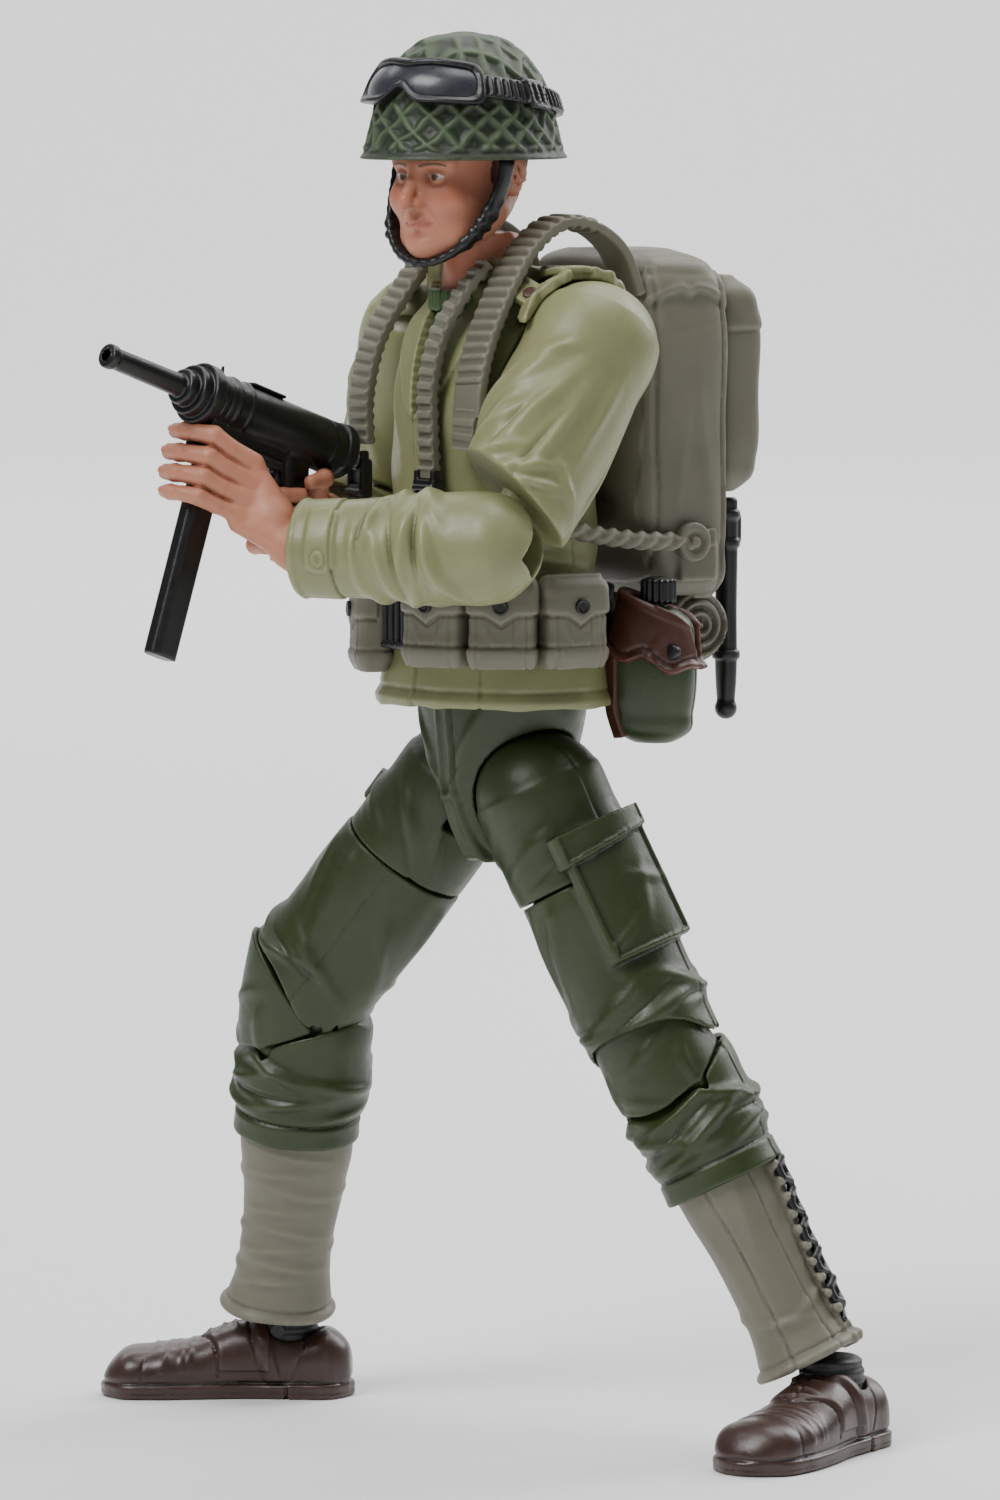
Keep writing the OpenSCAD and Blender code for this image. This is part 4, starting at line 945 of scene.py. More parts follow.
def strap(name, points, across, width, thick, body, m, material, slot, replaces=(), rib=0.0,
          pitch=0.62, count=220, start_plain=0.0, end_plain=0.0):
    """A moulded webbing strap with raised ribs across it, apart from its plain ends."""
    path = smooth_path(points, count)
    side_ = smooth_path(across, count)

    def taper(run, total, profile):
        k = 1.0
        if rib and start_plain <= run <= total - end_plain:
            w = math.cos(run / pitch * 2 * math.pi)
            k += rib * (1 if w > 0.2 else (-1 if w < -0.35 else w * 2)) * 0.5
            edge = np.clip(1.12 - abs(profile[:, :1]) / (width / 2), 0, 0.3) / 0.3
            return np.hstack([profile[:, :1], profile[:, 1:] * (1 + (k - 1) * edge)])
        return profile * (1, k)

    v, q = tube(path, side_, flat_profile(width, thick, 36), taper)
    return make_mesh(name, v, q, m, body, material, replaces)


def make_harness():
    def over(s, far):
        near = 1 - far
        return [(s * 5.6, 7.0, 79.0), (s * 5.6, 5.6, 82.0), (s * 5.6, 3.2, 83.7),
                (s * 5.5, 0.6, 83.9),
                (s * (5.35 + near * 0.1), -1.8, 82.2),
                (s * (5.2 + near * 0.5), -3.9 - far * 0.5, 79.4),
                (s * (5.0 + far * 0.7 + near * 0.9), -6.0 - far * 0.6 + near * 0.25, 75.8),
                (s * (4.9 + far * 1.1 + near * 1.2), -7.15 - far * 0.3 + near * 0.5, 73 - far),
                (s * (4.9 + far * 1.1 + near * 1.3), -7.45 + near * 0.55, 68.6 + near * 2.2)]

    flat = [(1, 0, 0)] * 9
    strap("left_shoulder_strap", over(1, 0), flat, 3.1, 0.85, "torso", BODY, WEBBING, "webbing",
          ["left_harness"],
          rib=0.5, pitch=0.82, count=300, start_plain=6, end_plain=2.2)
    strap("left_strap_end", [(6.2, -6.95, 71.4), (6.2, -7.25, 70.2), (6.15, -7.25, 68.7)],
          [(1, 0, 0)] * 3, 2.5, 0.6, "torso", BODY,
          WEBBING, "webbing", rib=0.45, pitch=0.95, count=60)
    strap("left_neck_strap",
          [(3.4, -3.6, 81.2), (3.0, -5.2, 79.2), (2.4, -6.7, 76.4), (2.2, -7.5, 73),
           (2.3, -7.6, 70),
                              (2.35, -7.5, 66.6)], [(1, 0, 0.25)] * 2 + [(1, 0, 0)] * 4, 1.75, 0.8,
          "torso", BODY, WEBBING,
          "webbing", rib=0.6, pitch=0.95, count=220, end_plain=0.6)
    strap("right_shoulder_strap", over(-1, 1), flat, 2.3, 0.85, "torso", BODY, WEBBING, "webbing",
          ["right_harness"],
          rib=0.5, pitch=0.82, count=300, start_plain=6)
    b = Block((-1.7, -1.4, -2.4), (1.7, 1.4, 2.6), 0.1)
    p = b.p
    d = brick(p, (0, 0, 0), (1.15, 0.5, 1.35), 0.22)
    d = cut(d, brick(p, (0, -0.6, 0.25), (0.72, 0.4, 0.65), 0.1), 0.1)
    d = join(d, drum(p, (0, -0.5, 0.75), 0, 0.2, 1.0, 0.1), 0.08)
    d = join(d, brick(p, (0, -0.35, -0.95), (1.2, 0.35, 0.22), 0.1), 0.1)
    for s in (-1, 1):
        d = join(d, brick(p, (0.85 * s, -0.1, 1.55), (0.22, 0.32, 0.4), 0.1), 0.1)
    for i, (c, yaw) in enumerate((((2.35, -7.65, 65.2), 6), ((-6.05, -7.6, 66.2), -8))):
        skin(("left", "right")[i] + "_harness_buckle", b, d, BODY @ shift(*c) @ turn("z", yaw),
             "torso", BLACK,
             ["harness_buckles"] if i == 0 else [])
    for label, s in SIDE.items():
        path = smooth_path([(s * a, y, z) for a, y,
                            z in ((7.5, -3.4, 64.0), (7.95, -1.0, 63.4), (8.2, 2.0, 62.7),
                                                         (8.3, 5.5, 62.2), (8.35, 8.6, 62.0),
                                  (8.35, 10.2, 61.8))], 260)
        side_ = np.tile((0, 0, 1.0), (260, 1))
        prof = flat_profile(1.15, 1.05, 30, 2)

        def twist(run, total, profile, s=s):
            a = np.arctan2(profile[:, 1], profile[:, 0])
            k = 1 + 0.17 * np.cos(2 * (a + s * run * 2.6))
            fade = min(1, run / 0.8)
            return profile * (1 + (k[:, None] - 1) * fade)

        v, q = tube(path, side_, prof, twist)
        make_mesh(label + "_side_rope", v, q, BODY, "torso", WEBBING,
                  ["side_straps"] if s > 0 else [])
        b2 = Block((-1.3, -2.2, -2.2), (1.3, 2.2, 2.2), 0.1)
        p = b2.p
        r = np.sqrt(p[1] ** 2 + p[2] ** 2)
        e = meet(abs(r - 1.05) - 0.3, abs(p[0]) - 0.42, 0.25)
        e = join(e, meet(r - 0.85, abs(p[0]) - 0.3, 0.1), 0.1)
        e = join(e, drum(p, (0.2 * s, 0, 0), 0, 0.4, 0.35, 0.2), 0.1)
        tab = meet(meet(abs(p[2] - 0.15 * p[1]) - 0.62, abs(p[1] - 0.9) - 1.1, 0.3),
                   abs(p[0] + 0.15 * s) - 0.3, 0.15)
        e = join(e, tab, 0.15)
        skin(label + "_side_ring", b2, e, BODY @ shift(8.45 * s, 10.3, 61.9), "torso", WEBBING)


def make_pack():
    b = Block((-8.6, 6.0, 57.6), (8.6, 15.8, 82.6), 0.16)
    p = b.p
    x, y, z = p
    d = loft(p, [[58.0, 6.6, 2.6, 0, 11.6], [59.0, 7.4, 3.3, 0, 11.5], [61.4, 7.8, 4.1, 0, 10.8],
                 [70, 7.9, 4.25, 0, 10.7],
                 [78, 7.75, 4.15, 0, 10.7], [80.2, 7.2, 3.8, 0, 10.5], [81.4, 6.2, 3.0, 0, 10.2],
                 [82.0, 4.6, 1.9, 0, 10]],
             4.2, 0.5)
    d = b.full(d)

    def relief(x, y, z):
        r = 0
        side_ = abs(x) > 6.4
        # The flap's double arch, a raised border over the side panel
        arch = 79.2 - 0.1 * (y - 10.6) ** 2 - ridge(y - 10.6, 0.5, 0.35)
        r = r + np.where(side_, 0.22 * ramp(z - arch, 0.1) + ridge(z - arch - 0.35, 0.22, 0.12), 0)
        r = r + np.where(side_, ridge(y - 13.7, 0.22, 0.2) + groove(y - 13.35, 0.1, 0.1)
                         + groove(y - 7.9, 0.16, 0.18), 0)
        r = r + np.where(side_, bump(y, z, 10.2, 76.6, 8, 2.6, 0.5, -0.1)
                         + bump(y, z, 9.6, 66.5, 80, 4.0, 0.5, 0.1)
                         + bump(y, z, 11.6, 70.0, 98, 5.0, 0.45, 0.1)
                         + bump(y, z, 10.4, 61.8, 6, 3.0, 0.4, 0.12), 0)
        r = r + np.where(~side_ & (y > 12), ridge(abs(x) - 6.2, 0.25, 0.2), 0)
        r = r + np.where((y < 8.2) & (abs(x) < 6.8), 0.12 * np.sin(z * 1.3), 0)
        top = z > 80.4
        r = r + np.where(top, ridge(abs(x) - 5.6, 0.5, 0.15) + 0.1 * ripple(x, y, z, 1.2, 8), 0)
        return r + 0.05 * ripple(x, y, z, 1.0, 4)

    d = b.raise_by(d, 0.7, relief)
    # A stiffened patch behind each side ring
    for s in (-1, 1):
        d = join(d, brick(p, (7.75 * s, 11.2, 60.4), (0.35, 1.6, 1.3), 0.3), 0.4)
    skin("pack_body_sculpt", b, d, BODY, "torso", WEBBING, ["pack_body"])


def make_pack_pocket():
    b = Block((-7.0, 14.2, 64.2), (7.0, 19.2, 80.8), 0.15)
    p = b.p
    d = b.full(loft(p, [[65.0, 5.2, 0.7, 0, 15.9], [65.8, 5.8, 1.5, 0, 16.2],
                        [67.5, 6.05, 1.9, 0, 16.4], [72, 6.1, 2.0, 0, 16.5],
                        [77.6, 6.05, 1.9, 0, 16.4], [79.2, 5.7, 1.4, 0, 16.2],
                        [79.9, 5.0, 0.7, 0, 15.9]], 4.5, 0.3))

    def pocket(x, y, z):
        lip = 76.0 - 0.4 * np.cos(x * 0.5)
        r = 0.22 * ramp(z - lip, 0.08) + groove(z - lip + 0.12, 0.1, 0.1)
        r = r + bump(x, z, 2.0, 71, 75, 3.5, 0.5, 0.12) + bump(x, z, -3.0, 69, 96, 3.2, 0.5, 0.12)
        r = r + np.where(y > 17.2, ridge(abs(x) - 5.3, 0.2, 0.14), 0)
        return r + 0.05 * ripple(x, y, z, 1.1, 9)

    d = b.raise_by(d, 0.7, pocket)
    skin("pack_pocket_sculpt", b, d, BODY, "torso", WEBBING, ["pack_pocket"])


def make_pack_roll():
    b = Block((-6.4, -3.4, -3.4), (6.4, 3.4, 3.4), 0.15)
    p = b.p
    r_ = np.sqrt(p[1] ** 2 + p[2] ** 2)
    d = b.full(meet(r_ - 2.5, abs(p[0]) - 5.6, 0.6))

    def rolled(x, y, z):
        r, a = np.hypot(y, z), np.arctan2(z, y)
        end = abs(x) > 5.0
        spiral = 0.22 * np.cos((r * 1.35 - a / (2 * math.pi)) * 2 * math.pi)
        ties = 0.22 * (abs(abs(x) - 3.2) < 0.42)
        return np.where(end & (r < 2.2), spiral, ties) + 0.08 * ripple(x, y, z, 1.3, 3)

    d = b.raise_by(d, 0.6, rolled)
    skin("pack_roll_sculpt", b, d, BODY @ shift(0, 13.1, 55.75), "torso", WEBBING,
         ["pack_roll"])


def make_scabbard():
    b = Block((-1.3, -1.3, -1.4), (1.3, 1.6, 15.2), 0.1)
    p = b.p
    d = loft(p, [[0, 0.62, 0.55], [1.0, 0.72, 0.62], [7, 0.8, 0.66], [12.6, 0.85, 0.7],
                 [14.4, 0.8, 0.7]], 2.4, 0.3)
    d = join(d, ball(p, (0, 0, -0.35), 0.78), 0.15)
    for z in (3.4, 11.2, 13.2):
        d = join(d, drum(p, (0, 0, z), 2, 0.98, 0.3, 0.12), 0.1)
    d = join(d, brick(p, (0, 0.75, 12.2), (0.45, 0.3, 1.0), 0.15), 0.1)
    skin("scabbard_sculpt", b, d, BODY @ shift(4.3, 16.25, 50.2), "torso", BLACK,
         ["scabbard"])


# ---- belt and its kit ----------------------------------------------------------------------------

BELT_HALF = (8.6, 7.3)
BELT_Z = 56.85


def on_belt(angle, gap=0.0):
    a = math.radians(angle)
    s, c = math.sin(a), math.cos(a)
    return (BODY @ shift((BELT_HALF[0] + gap) * s, -(BELT_HALF[1] + gap) * c, 0)
            @ turn("z", math.degrees(math.atan2(BELT_HALF[1] * s, BELT_HALF[0] * c))))


def make_belt():
    b = Block((-9.4, -8.1, 54.0), (9.4, 8.1, 59.8), 0.14)
    p = b.p
    shell = loft(p, [[50, 8.55, 7.25], [64, 8.55, 7.25]], 2.1, 0.0)
    d = meet(meet(shell, -(shell + 0.75), 0.1), abs(p[2] - BELT_Z) - 2.2, 0.2)
    web = meet(meet(shell + 0.2, -(shell + 1.4)), abs(p[2] - 55.3) - 0.4, 0.1)
    d = b.full(join(d, web, 0.1))

    def relief(x, y, z):
        a = np.arctan2(x, -y) * 8
        edge = ridge(abs(z - BELT_Z) - 1.85, 0.2, 0.1)
        eyelets = (-0.3 * np.exp(-(((abs(a) % 2.4) - 1.2) ** 2
                                   + (abs(z - BELT_Z) - 1.1) ** 2) / 0.05))
        return edge + eyelets + 0.04 * np.sin(z * 14)

    d = b.raise_by(d, 0.4, relief)
    skin("belt_sculpt", b, d, BODY, "pelvis", BLACK, ["belt"])


def make_belt_buckle():
    b = Block((-2.7, -1.6, 54.0), (2.7, 0.6, 59.8), 0.1)
    p = b.p
    d = brick(p, (0, -0.35, BELT_Z), (2.05, 0.32, 2.2), 0.2)
    for x in np.linspace(-1.6, 1.6, 5):
        d = join(d, rod(p, (x, -0.75, 55.1), (x, -0.75, 58.6), 0.24), 0.08)
    for z in (54.95, 58.75):
        d = join(d, brick(p, (0, -0.7, z), (2.05, 0.3, 0.22), 0.15), 0.1)
    skin("belt_buckle_sculpt", b, d, on_belt(-3, 0.15), "pelvis", BLACK,
         ["belt_buckle"])


def make_pouches():
    b = Block((-3.0, -2.1, -0.6), (3.0, 1.9, 7.2), 0.11)
    p = b.p
    d = b.full(loft(p, [[0.0, 2.1, 0.95], [0.5, 2.28, 1.2], [2.5, 2.3, 1.25], [4.6, 2.3, 1.2],
                        [5.7, 2.2, 1.0, 0, 0.1], [6.1, 1.95, 0.75, 0, 0.2]], 4.5, 0.25))

    def relief(x, y, z):
        front = y < 0.2
        edge = 3.65 + np.where(abs(x) < 1.15, -0.75 * (1 - abs(x) / 1.15), 0)
        flap = 0.22 * ramp(z - edge, 0.05) + groove(z - edge + 0.14, 0.1, 0.12)
        base_band = 0.14 * ramp(-(z - 1.25), 0.06) + groove(z - 1.42, 0.09, 0.1)
        seam = 0.0
        for s in (-1, 1):
            seam = (seam + np.where(z < edge,
                                    groove(x * s - 1.72, 0.09, 0.12)
                                    + groove(x * s - 0.85, 0.07, 0.08) * (z > 1.4), 0))
            seam = seam + bump(x * s, z, 1.0, 2.4, 60, 0.8, 0.2, 0.06)
        return (np.where(front, flap + seam, 0.12 * ramp(z - 3.6, 0.08)) + base_band
                + 0.035 * ripple(x, y, z, 1.6, 11))

    d = b.raise_by(d, 0.5, relief)
    bs = Block((-0.8, -0.5, -0.8), (0.8, 0.5, 0.8), 0.07)
    ps = bs.p
    r = np.sqrt(ps[0] ** 2 + ps[2] ** 2)
    snap = meet(r - 0.52, abs(ps[1]) - 0.22 + 0.12 * r ** 2, 0.1)
    snap = join(snap, meet(abs(r - 0.45) - 0.09, abs(ps[1]) - 0.26), 0.05)
    for i, (angle, drop, gap) in enumerate(((23, 0, 1.3), (52.5, 0, 1.3), (84, 0, 1.3),
                                            (-30, 0.8, 1.3), (-112, 1.6, 1.3))):
        m = on_belt(angle, gap) @ shift(0, 0, 53.9 - drop)
        skin("ammo_pouch_%d" % (i + 1), b, d, m, "pelvis", WEBBING,
             ["ammo_pouches"] if i == 0 else [])
        skin("pouch_snap_%d" % (i + 1), bs, snap, m @ shift(0, -1.42, 4.15), "pelvis", BLACK,
             ["pouch_snaps"] if i == 0 else [])


CANTEEN_AT = BODY @ shift(9.45, 6.25, 0) @ turn("z", 40)


def make_canteen():
    b = Block((-3.9, -3.2, 47.8), (3.9, 3.2, 60.4), 0.12)
    p = b.p
    rings = [[48.3, 1.4, 0.9], [48.9, 2.35, 1.6], [50.4, 2.75, 1.95], [55, 2.85, 2.0],
             [56.8, 2.45, 1.65], [57.6, 1.5, 1.1]]
    d = loft(p, rings, 2.5, 0.3)
    d = join(d, drum(p, (0, 0, 57.8), 2, 0.85, 0.6, 0.1), 0.2)
    d = b.full(d)
    d = b.raise_by(d, 0.4, lambda x, y,
                   z: groove(y, 0.12, 0.12) * (z < 56.5) + 0.03 * ripple(x, y, z, 1.2, 6))
    skin("canteen_sculpt", b, d, CANTEEN_AT, "pelvis", CANTEEN, ["canteen"])


def make_canteen_cap():
    b = Block((-1.6, -1.6, 57.6), (1.6, 1.6, 60.6), 0.09)
    p = b.p
    cap = b.full(drum(p, (0, 0, 58.75), 2, 1.18, 0.85, 0.25))
    cap = b.raise_by(cap, 0.4, lambda x, y, z: 0.09 * np.cos(np.arctan2(y, x) * 16) * (z < 59.5))
    cap = join(cap, drum(p, (0, 0, 59.55), 2, 0.8, 0.16, 0.1), 0.1)
    skin("canteen_cap", b, cap, CANTEEN_AT @ shift(0.35, 0, 0), "pelvis", BLACK)


def make_canteen_cover():
    b = Block((-4.1, -3.4, 51.0), (4.1, 3.4, 59.4), 0.12)
    p = b.p
    x, y, z = p
    outer = loft(p, [[40, 3.7, 2.8], [53, 3.6, 2.7, -0.1, 0], [54.6, 3.3, 2.45, -0.1, 0],
                     [56.4, 3.1, 2.3],
                     [57.8, 2.6, 1.9], [59.4, 1.9, 1.6, -0.4, 0]], 2.4, 0.3)
    inner = loft(p, [[30, 2.9, 2.05], [54, 2.95, 2.1], [56.4, 2.6, 1.85], [57.8, 2.1, 1.5],
                     [61, 1.4, 1.25, -0.3, 0]], 2.4, 0.3)

    def hem(x):
        return 53.9 - 0.22 * x + 0.35 * np.cos(x * 1.9)

    d = meet(cut(outer, inner, 0.1), hem(x) - z, 0.2)
    d = meet(d, z - 58.6 + 0.42 * (x + 1.3), 0.25)
    d = cut(d, meet(abs(y) - 0.2 - 0.36 * np.clip(z - 53.6, 0, 9), 1.2 - x), 0.2)
    d = b.full(cut(d, drum(p, (0.35, 0, 58.7), 2, 1.3, 1.2), 0.1))

    def relief(x, y, z):
        h = hem(x)
        rear = abs(abs(y) - 0.45 - 0.36 * np.clip(z - 53.6, 0, 9))
        return (ridge(z - h - 0.25, 0.2, 0.26) + groove(z - h - 0.75, 0.1, 0.1)
                + ridge(rear, 0.2, 0.14) * (x > 0.6)
                + ridge(z - 58.2 + 0.42 * (x + 1.3), 0.22, 0.14)
                + bump(x, z, 0.4, 54.4, 62, 1.1, 0.3, 0.16)
                + bump(x, z, -1.9, 54.9, -50, 1.2, 0.3, 0.12)
                + 0.05 * ripple(x, y, z, 1.8, 12))

    d = b.raise_by(d, 0.4, relief)
    skin("canteen_cover_sculpt", b, d, CANTEEN_AT, "pelvis", LEATHER, ["canteen_cover"])
    bs = Block((-0.9, -0.9, -0.9), (0.9, 0.9, 0.9), 0.07)
    for i, (px, py) in enumerate(((1.9, -2.15), (1.9, 2.15))):
        s = 1 if py > 0 else -1
        snap = meet(np.sqrt(bs.x ** 2 + bs.z ** 2) - 0.55,
                    abs(bs.y) - 0.3 + 0.12 * (bs.x ** 2 + bs.z ** 2), 0.1)
        skin("canteen_snap_%d" % (i + 1), bs, snap,
             CANTEEN_AT @ shift(px, py, 54.7) @ turn("z", 26 * s), "pelvis", BLACK)
    strap("canteen_side_strap",
          [(-2.6, -1.3, 54.6), (-2.62, -1.3, 52.4), (-2.6, -1.25, 50.6), (-2.1, -1.0, 48.7)],
          [(0.7, -0.71, 0)] * 4, 1.3, 0.5,
          "pelvis", CANTEEN_AT, LEATHER, "leather", count=60)


def make_skirt():
    b = Block((-10.6, -9.2, 50.4), (10.6, 9.2, 55.4), 0.14)
    p = b.p
    x, y, z = p
    rings = [[50.9, 9.2, 7.7], [52.4, 8.8, 7.45], [53.8, 8.5, 7.25], [54.9, 8.3, 7.1]]
    d = loft(p, rings, 2.2, 0.15)
    d = cut(d, loft(p, [[49, 8.3, 6.9], [52.3, 7.9, 6.6], [53.2, 6.6, 5.5]], 2.2, 0.1), 0.1)
    d = b.full(d)

    def relief(x, y, z):
        a = np.arctan2(x, -y)
        u = a * 8.3
        r = ridge(z - 51.35, 0.3, 0.16) + groove(z - 52.0, 0.11, 0.12)
        r = (r + groove(u - 6.6, 0.11, 0.15) + groove(u + 7.2, 0.11, 0.15)
             + groove(u - 0.4, 0.12, 0.2))
        r = r + np.where((u < 0.4) & (u > -6.5), 0.14, 0)
        for u0, w in ((3.2, 0.9), (9.4, 1.0), (-3.8, 0.9), (-9.5, 1.0), (14, 1.2), (-14, 1.2),
                      (18.5, 1.1), (-18.5, 1.1)):
            r = r + bump(u, z, u0, 52.6, 84, 2.2, w, 0.24)
        return r

    d = b.raise_by(d, 0.6, relief)
    skin("jacket_skirt_sculpt", b, d, BODY, "pelvis", JACKET, ["jacket_skirt"])


# ---- arms ----------------------------------------------------------------------------------------


def make_upper_arm(side):
    s, left = SIDE[side], side == "left"
    b = Block((-5.4, -5.6, -17.4), (5.4, 5.6, 5.0), 0.15)
    p = b.p
    x, y, z = p
    d = loft(p, [[1.5, 3.7, 4.1], [-1, 4.0, 4.4], [-4, 4.1, 4.65], [-8, 4.0, 4.6, 0, 0.1],
                 [-12, 3.95, 4.35, 0, 0.1], [-16.8, 3.95, 4.2, 0, 0.1]], 2.15, 0.3)
    d = b.full(join(d, ball(p, (0, 0, 0), 4.5), 0.8))
    yaw = -63.4 if left else -27.2

    def folds(x, y, z):
        u = np.arctan2(x * s, -y) * 4.3
        r = creases(u, z, (
                (1.2, -5.5, 62, 3.6, 0.62, 0.34), (2.9, -7.5, 70, 4.2, 0.66, 0.34),
                           (4.8, -8.8, 82, 4.2, 0.6, 0.3),
                (0.2, -9.5, 40, 2.6, 0.5, 0.34), (-1.6, -7.2, 55, 3.0, 0.6, 0.34),
                           (3.2, -12.6, 30, 2.8, 0.42, 0.38),
                (5.6, -12.9, 20, 2.4, 0.42, 0.34), (0.9, -11.8, 25, 2.2, 0.42, 0.32),
                           (7.4, -6.0, 88, 3.8, 0.6, 0.26),
                (8.6, -12.2, 150, 2.6, 0.5, 0.34), (-4.2, -6.5, 70, 3.4, 0.6, 0.3),
                           (-6.4, -9.5, 100, 3.6, 0.6, 0.3),
                (-9.0, -7.0, 80, 3.4, 0.6, 0.26), (2.2, -3.2, 35, 2.0, 0.45, 0.22),
                           (11.2, -9.5, 95, 4.0, 0.6, 0.28),
                (1.9, -8.8, 66, 3.2, 0.28, -0.22), (4.0, -10.2, 76, 3.2, 0.28, -0.2),
                           (4.6, -13.6, 26, 3.0, 0.22, -0.22),
                (-0.4, -8.2, 50, 2.2, 0.25, -0.2)))
        seam = seam_round(np.arctan2(x * s, -y), 2.5, 4.3) * (z < -2)
        top = np.clip((-z - 0.5) / 3, 0, 1)
        return r * top + seam + 0.05 * ripple(x, y, z, 1.0, 21 + s)

    d = b.raise_by(d, 1.0, folds)
    tilt = 22 if left else 32
    e = local(p, shift(0, 0, -17) @ turn("z", s * yaw) @ turn("x", -tilt))
    d = cut(d, e[2] - 3.9, 0.15)
    e = local(p, shift(0, 0, -17))
    d = cut(d, ball(e, (0, 0, 0), 4.05), 0.15)
    # Slot for the shoulder hub
    d = cut(d, meet(brick(p, (-3 * s, 0, 0), (4.2, 1.3, 1.9), 0.1), s * p[0] - 2.2), 0.1)
    limb_skin(side, "upper_arm", "upper_arm", b, d, JACKET)


def make_forearm(side):
    s, left = SIDE[side], side == "left"
    b = Block((-4.8, -4.9, -14.0), (4.8, 4.9, 4.4), 0.13)
    p = b.p
    x, y, z = p
    d = loft(p, [[3.0, 1.6, 2.0], [1.4, 3.3, 3.4], [0, 3.6, 3.7], [-3, 3.62, 3.75],
                 [-6, 3.4, 3.6], [-9.3, 3.1, 3.35], [-10.4, 3.1, 3.3], [-13.3, 3.05, 3.2]], 2.15,
             0.18)
    d = b.full(join(d, ball(p, (0, 0, 0), 3.66), 0.4))
    facing = 122 if left else -100
    tab_at = math.radians(facing + 4)

    def folds(x, y, z):
        th = np.arctan2(x * s, -y)
        rel = wrap(th - math.radians(facing if left else 80)) * 3.5
        r = creases(rel, z, (
                (0.2, -3.2, 12, 2.6, 0.5, 0.36), (-1.0, -4.9, -8, 3.0, 0.5, 0.34),
                             (1.4, -6.6, 16, 2.8, 0.46, 0.32),
                (-2.2, -7.6, -14, 2.4, 0.42, 0.28), (2.6, -2.0, 30, 2.2, 0.45, 0.3),
                             (0.6, -8.6, 4, 2.6, 0.34, 0.24),
                (-3.4, -3.4, 25, 2.4, 0.5, 0.3), (4.4, -4.8, -20, 2.4, 0.5, 0.3),
                             (5.6, -7.4, 12, 2.4, 0.45, 0.26),
                (-5.4, -6.0, 10, 2.6, 0.5, 0.28), (-7.5, -3.6, -18, 2.6, 0.5, 0.3),
                             (8.0, -3.0, 20, 2.6, 0.5, 0.3),
                (0.0, -4.1, 2, 2.6, 0.22, -0.22), (0.4, -5.8, 8, 2.6, 0.22, -0.2),
                             (-1.2, -8.2, -6, 2.4, 0.2, -0.16)), 3.5, 1.4)
        r = r * np.clip((z + 10.1) / 0.8, 0, 1) * np.clip((1.6 - z) / 1.6, 0, 1)
        band_ = (0.14 * ramp(-(z + 10.3), 0.06) + groove(z + 10.22, 0.09, 0.14)
                 + ridge(z + 13.1, 0.16, 0.1))
        t = wrap(th - tab_at) * 3.3
        along = abs(z + 11.0) - 1.0
        length = np.where(s * t > 0, abs(t) - 1.5, abs(t) - 3.2)
        tab = 0.22 * ramp(-(np.maximum(along, length + 0.35 * (z + 11.0) ** 2 * (s * t > 0))), 0.04)
        hole = np.sqrt((t - 0.55 * s) ** 2 + (z + 11.0) ** 2)
        button = 0.16 * (hole < 0.5) - 0.1 * (hole < 0.26) + groove(hole - 0.56, 0.06, 0.08)
        seam = seam_round(th, math.radians(facing + 75), 3.4, 0.08, 0.1)
        return r + band_ + tab + button * (hole < 0.8) + seam + 0.04 * ripple(x, y, z, 1.2, 31 + s)

    d = b.raise_by(d, 0.9, folds)
    # Slot for the elbow peg, and the cuff's opening
    walls = [y * math.sin(math.radians(a)) - z * math.cos(math.radians(a)) - 1.05 for a in (80, 38)]
    d = cut(d, np.maximum(abs(x) - 1.12, np.maximum(*walls)), 0.08)
    d = cut(d, drum(p, (0, 0, -13.9), 2, 2.55, 2.3), 0.15)
    limb_skin(side, "forearm", "forearm", b, d, JACKET)


def fingers(p, paths, radius):
    """Fingers with knuckle swellings; each path runs from the knuckle to the tip."""
    swell = (1.08, 1.0, 1.06, 0.94, 0.96, 0.84)

    def finger(path):
        last = len(path) - 1
        return chain(p, path, [radius * swell[i * 5 // last] for i in range(last + 1)], 0.12)

    return union([finger(path) for path in paths], 0.07)


